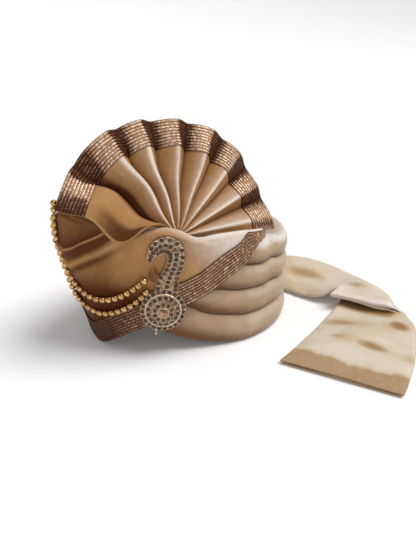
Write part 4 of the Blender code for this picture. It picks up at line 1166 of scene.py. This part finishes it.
def tailSleeve():
    # stations along a turning path, each a flattened loop of two layers; at the turn the near side
    # runs forward, doubles back below itself and forward again, which makes the overlapping fold
    path = np.array(tail["path"])
    share = np.linspace(0, 1, tail["rows"])
    heading, cross, width = (through(path, share, k) for k in (1, 2, 3))
    heading, cross = np.radians(heading), np.radians(cross)
    step = tail["length"] / (tail["rows"] - 1)
    ahead = np.stack([np.cos(heading), np.sin(heading)], 1)
    root = plan(tail["turn"], 0.0, tail["gap"])[:2]
    middle = root + np.vstack([[0, 0], np.cumsum((ahead[1:] + ahead[:-1]) / 2 * step, axis=0)])
    side = np.stack([np.cos(cross), np.sin(cross)], 1)
    # the loop runs over the top from the near edge to the far one, and back below
    place = np.linspace(-1, 1, tail["across"])
    loop = np.concatenate([place, place[-2:0:-1]])
    top = np.concatenate([np.ones(tail["across"]), np.zeros(tail["across"] - 2)])
    plump = np.sqrt(np.clip(1 - np.abs(loop) ** 8, 0, 1))
    reach = loop[None, :] * (tail["width"] * width[:, None] / 2)
    flat = middle[:, None, :] + side[:, None, :] * reach[..., None]
    start = plan(tail["turn"] + loop * tail["spread"], 0.0, tail["gap"])[:, :2]
    begin = (1 - smooth(share / tail["begin"]))[:, None, None]
    walked = ahead[:, None, :] * step * np.arange(tail["rows"])[:, None, None]
    flat = flat * (1 - begin) + (start[None] + walked) * begin
    s, t = share[:, None], loop[None, :]
    near = falls(t, 1, tail["foldFade"])
    foldAt = tail["foldAt"] + rises(t, *tail["foldSlant"])
    q = np.clip((s - foldAt) / tail["foldLong"] + 0.5, 0, 1)
    way = math.radians(tail["foldWay"])
    swing = tail["foldDeep"] * np.sin(2 * math.pi * q) * near
    flat = flat + swing[..., None] * np.array([math.cos(way), math.sin(way)])
    lifts = np.stack([through(path, share, k) for k in (4, 5, 6)], 1) * tail["lift"]
    lift = np.where(t < 0, lifts[:, 1:2] + (lifts[:, :1] - lifts[:, 1:2]) * -t,
                    lifts[:, 1:2] + (lifts[:, 2:] - lifts[:, 1:2]) * t)
    soft = ripple(s, t, tail["waves"]) * smooth(s / tail["calm"]) * falls(s, 1.03, tail["calm"])
    lift = lift + (tail["rest"] + soft) * mm
    over = (1 - rises(q, *tail["foldTop"])) * rises(s, *tail["foldFrom"])
    lift = lift + tail["foldHigh"] * near * over
    thick = tail["thick"] * plump * (0.8 + 0.2 * np.cos(3 * t + 9 * s))
    thick = thick * (1 - rises(s, *tail["thin"]))
    height = np.clip(lift, 0.4 * mm, None) + top * thick + (1 - plump) * 2 * mm
    # pale, deeper in a hem with a wavering border, at the start and in patches; a painted highlight
    # along the fold and painted shadow in the fold's pocket
    lightAndToneSettings = tail["paintedLightAndTone"]
    hem = s - tail["hemAt"] - ripple(t, 0, tail["hemWaves"])
    paintedLightAndTone = lightAndToneSettings["ground"] - rises(hem, *lightAndToneSettings["hem"]) - falls(s, *lightAndToneSettings["start"])
    for mid, long, centre, wide, depth in tail["patches"]:
        spread = ((s - mid) / long) ** 2 + ((t - centre) / wide) ** 2
        paintedLightAndTone = paintedLightAndTone - lightAndToneSettings["patch"] * depth * np.exp(-(spread**1.4))
    # painted highlight along the fold
    paintedLightAndTone = paintedLightAndTone + bell(q - lightAndToneSettings["foldAt"], *lightAndToneSettings["fold"]) * near
    # painted shadow in the pocket under the fold
    foldEnd = foldAt + 0.5 * tail["foldLong"] + lightAndToneSettings["pocketPast"]
    pocket = falls(s, foldEnd, lightAndToneSettings["pocketFade"]) * rises(q, *lightAndToneSettings["pocketFrom"])
    paintedLightAndTone = paintedLightAndTone - lightAndToneSettings["pocket"] * pocket * falls(t, *lightAndToneSettings["pocketSide"]) * near
    return np.concatenate([flat, height[..., None]], -1), paintedLightAndTone


points, paintedLightAndTone = tailSleeve()
closed = np.concatenate([points, points[:, :1]], 1)
mesh = brush(gridMesh("tail_sleeve", points, around=True, uv=clothUv(closed)), paintedLightAndTone)
tailPiece = addPiece(mesh, tailCloth, "velvet_pale", "tail", wall=tail["cloth"], side=-1)
print("tail ready")


# floor, light and camera

studio = {
    "paper": (0.90, 0.90, 0.905), "glow": 0.05, "air": (1.0, 0.99, 0.98), "airPower": 0.30,
    "sun": 2.6, "sunSoft": 44, "sunAt": (0.55, 0.62, 1.5), "floorReach": 6.0, "bendReach": 2.5,
    "lights": [("front", (0.9, -1.1, 0.7), 1.2, 2.2), ("side", (-1.0, -0.5, 0.8), 1.0, 1.2)],
    "cameraAt": (0.5696, -0.4505, 0.3235), "cameraDown": 21, "cameraTurn": 50, "lens": 41.05,
}


def backdrop():
    # a flat floor turned round the middle, which curves up into a wall far away
    walk = np.linspace(0, 1, 40)[:, None]
    angle = np.linspace(0, 2 * math.pi, 97)[:-1][None, :]
    bend = np.clip((walk - 0.5) * 2, 0, 1) * math.pi / 2
    radius = studio["floorReach"] * np.clip(walk * 2, 0.001, 1) + studio["bendReach"] * np.sin(bend)
    height = studio["bendReach"] * (1 - np.cos(bend)) - 0.4 * mm
    return np.stack(np.broadcast_arrays(radius * np.cos(angle), radius * np.sin(angle), height), -1)


def aim(thing, place, target):
    thing.location = place
    away = np.array(place) - np.array(target)
    level = math.hypot(away[0], away[1])
    thing.rotation_euler = (math.atan2(level, away[2]), 0.0, math.atan2(away[0], -away[1]))


floor = stand("floor", gridMesh("floor", backdrop(), around=True))
floor.data.materials.append(Look("paper", {
    "Roughness": 0.9, "Specular IOR Level": 0.2, "Base Color": (*studio["paper"], 1.0),
    "Emission Color": (1.0, 1.0, 1.0, 1.0), "Emission Strength": studio["glow"],
}).material)

world = bpy.data.worlds.new("studio")
world.use_nodes = True
air = world.node_tree.nodes["Background"].inputs
air["Color"].default_value = (*studio["air"], 1.0)
air["Strength"].default_value = studio["airPower"]
bpy.context.scene.world = world
bpy.context.scene.view_settings.view_transform = "Standard"

for name, place, size, power in studio["lights"]:
    lamp = bpy.data.lights.new(name, "AREA")
    lamp.shape, lamp.size, lamp.energy = "DISK", size, power
    aim(stand(name, lamp), place, (0.0, 0.0, 0.08))
sun = bpy.data.lights.new("overhead", "SUN")
sun.energy, sun.angle = studio["sun"], math.radians(studio["sunSoft"])
aim(stand("overhead", sun), studio["sunAt"], (0.0, 0.0, 0.0))

lens = bpy.data.cameras.new("camera")
lens.lens, lens.sensor_width, lens.clip_start = studio["lens"], 36.0, 0.01
camera = stand("camera", lens)
camera.location = studio["cameraAt"]
down, turn = math.radians(90 - studio["cameraDown"]), math.radians(studio["cameraTurn"])
camera.rotation_euler = (down, 0.0, turn)
bpy.context.scene.camera = camera
print("studio ready")
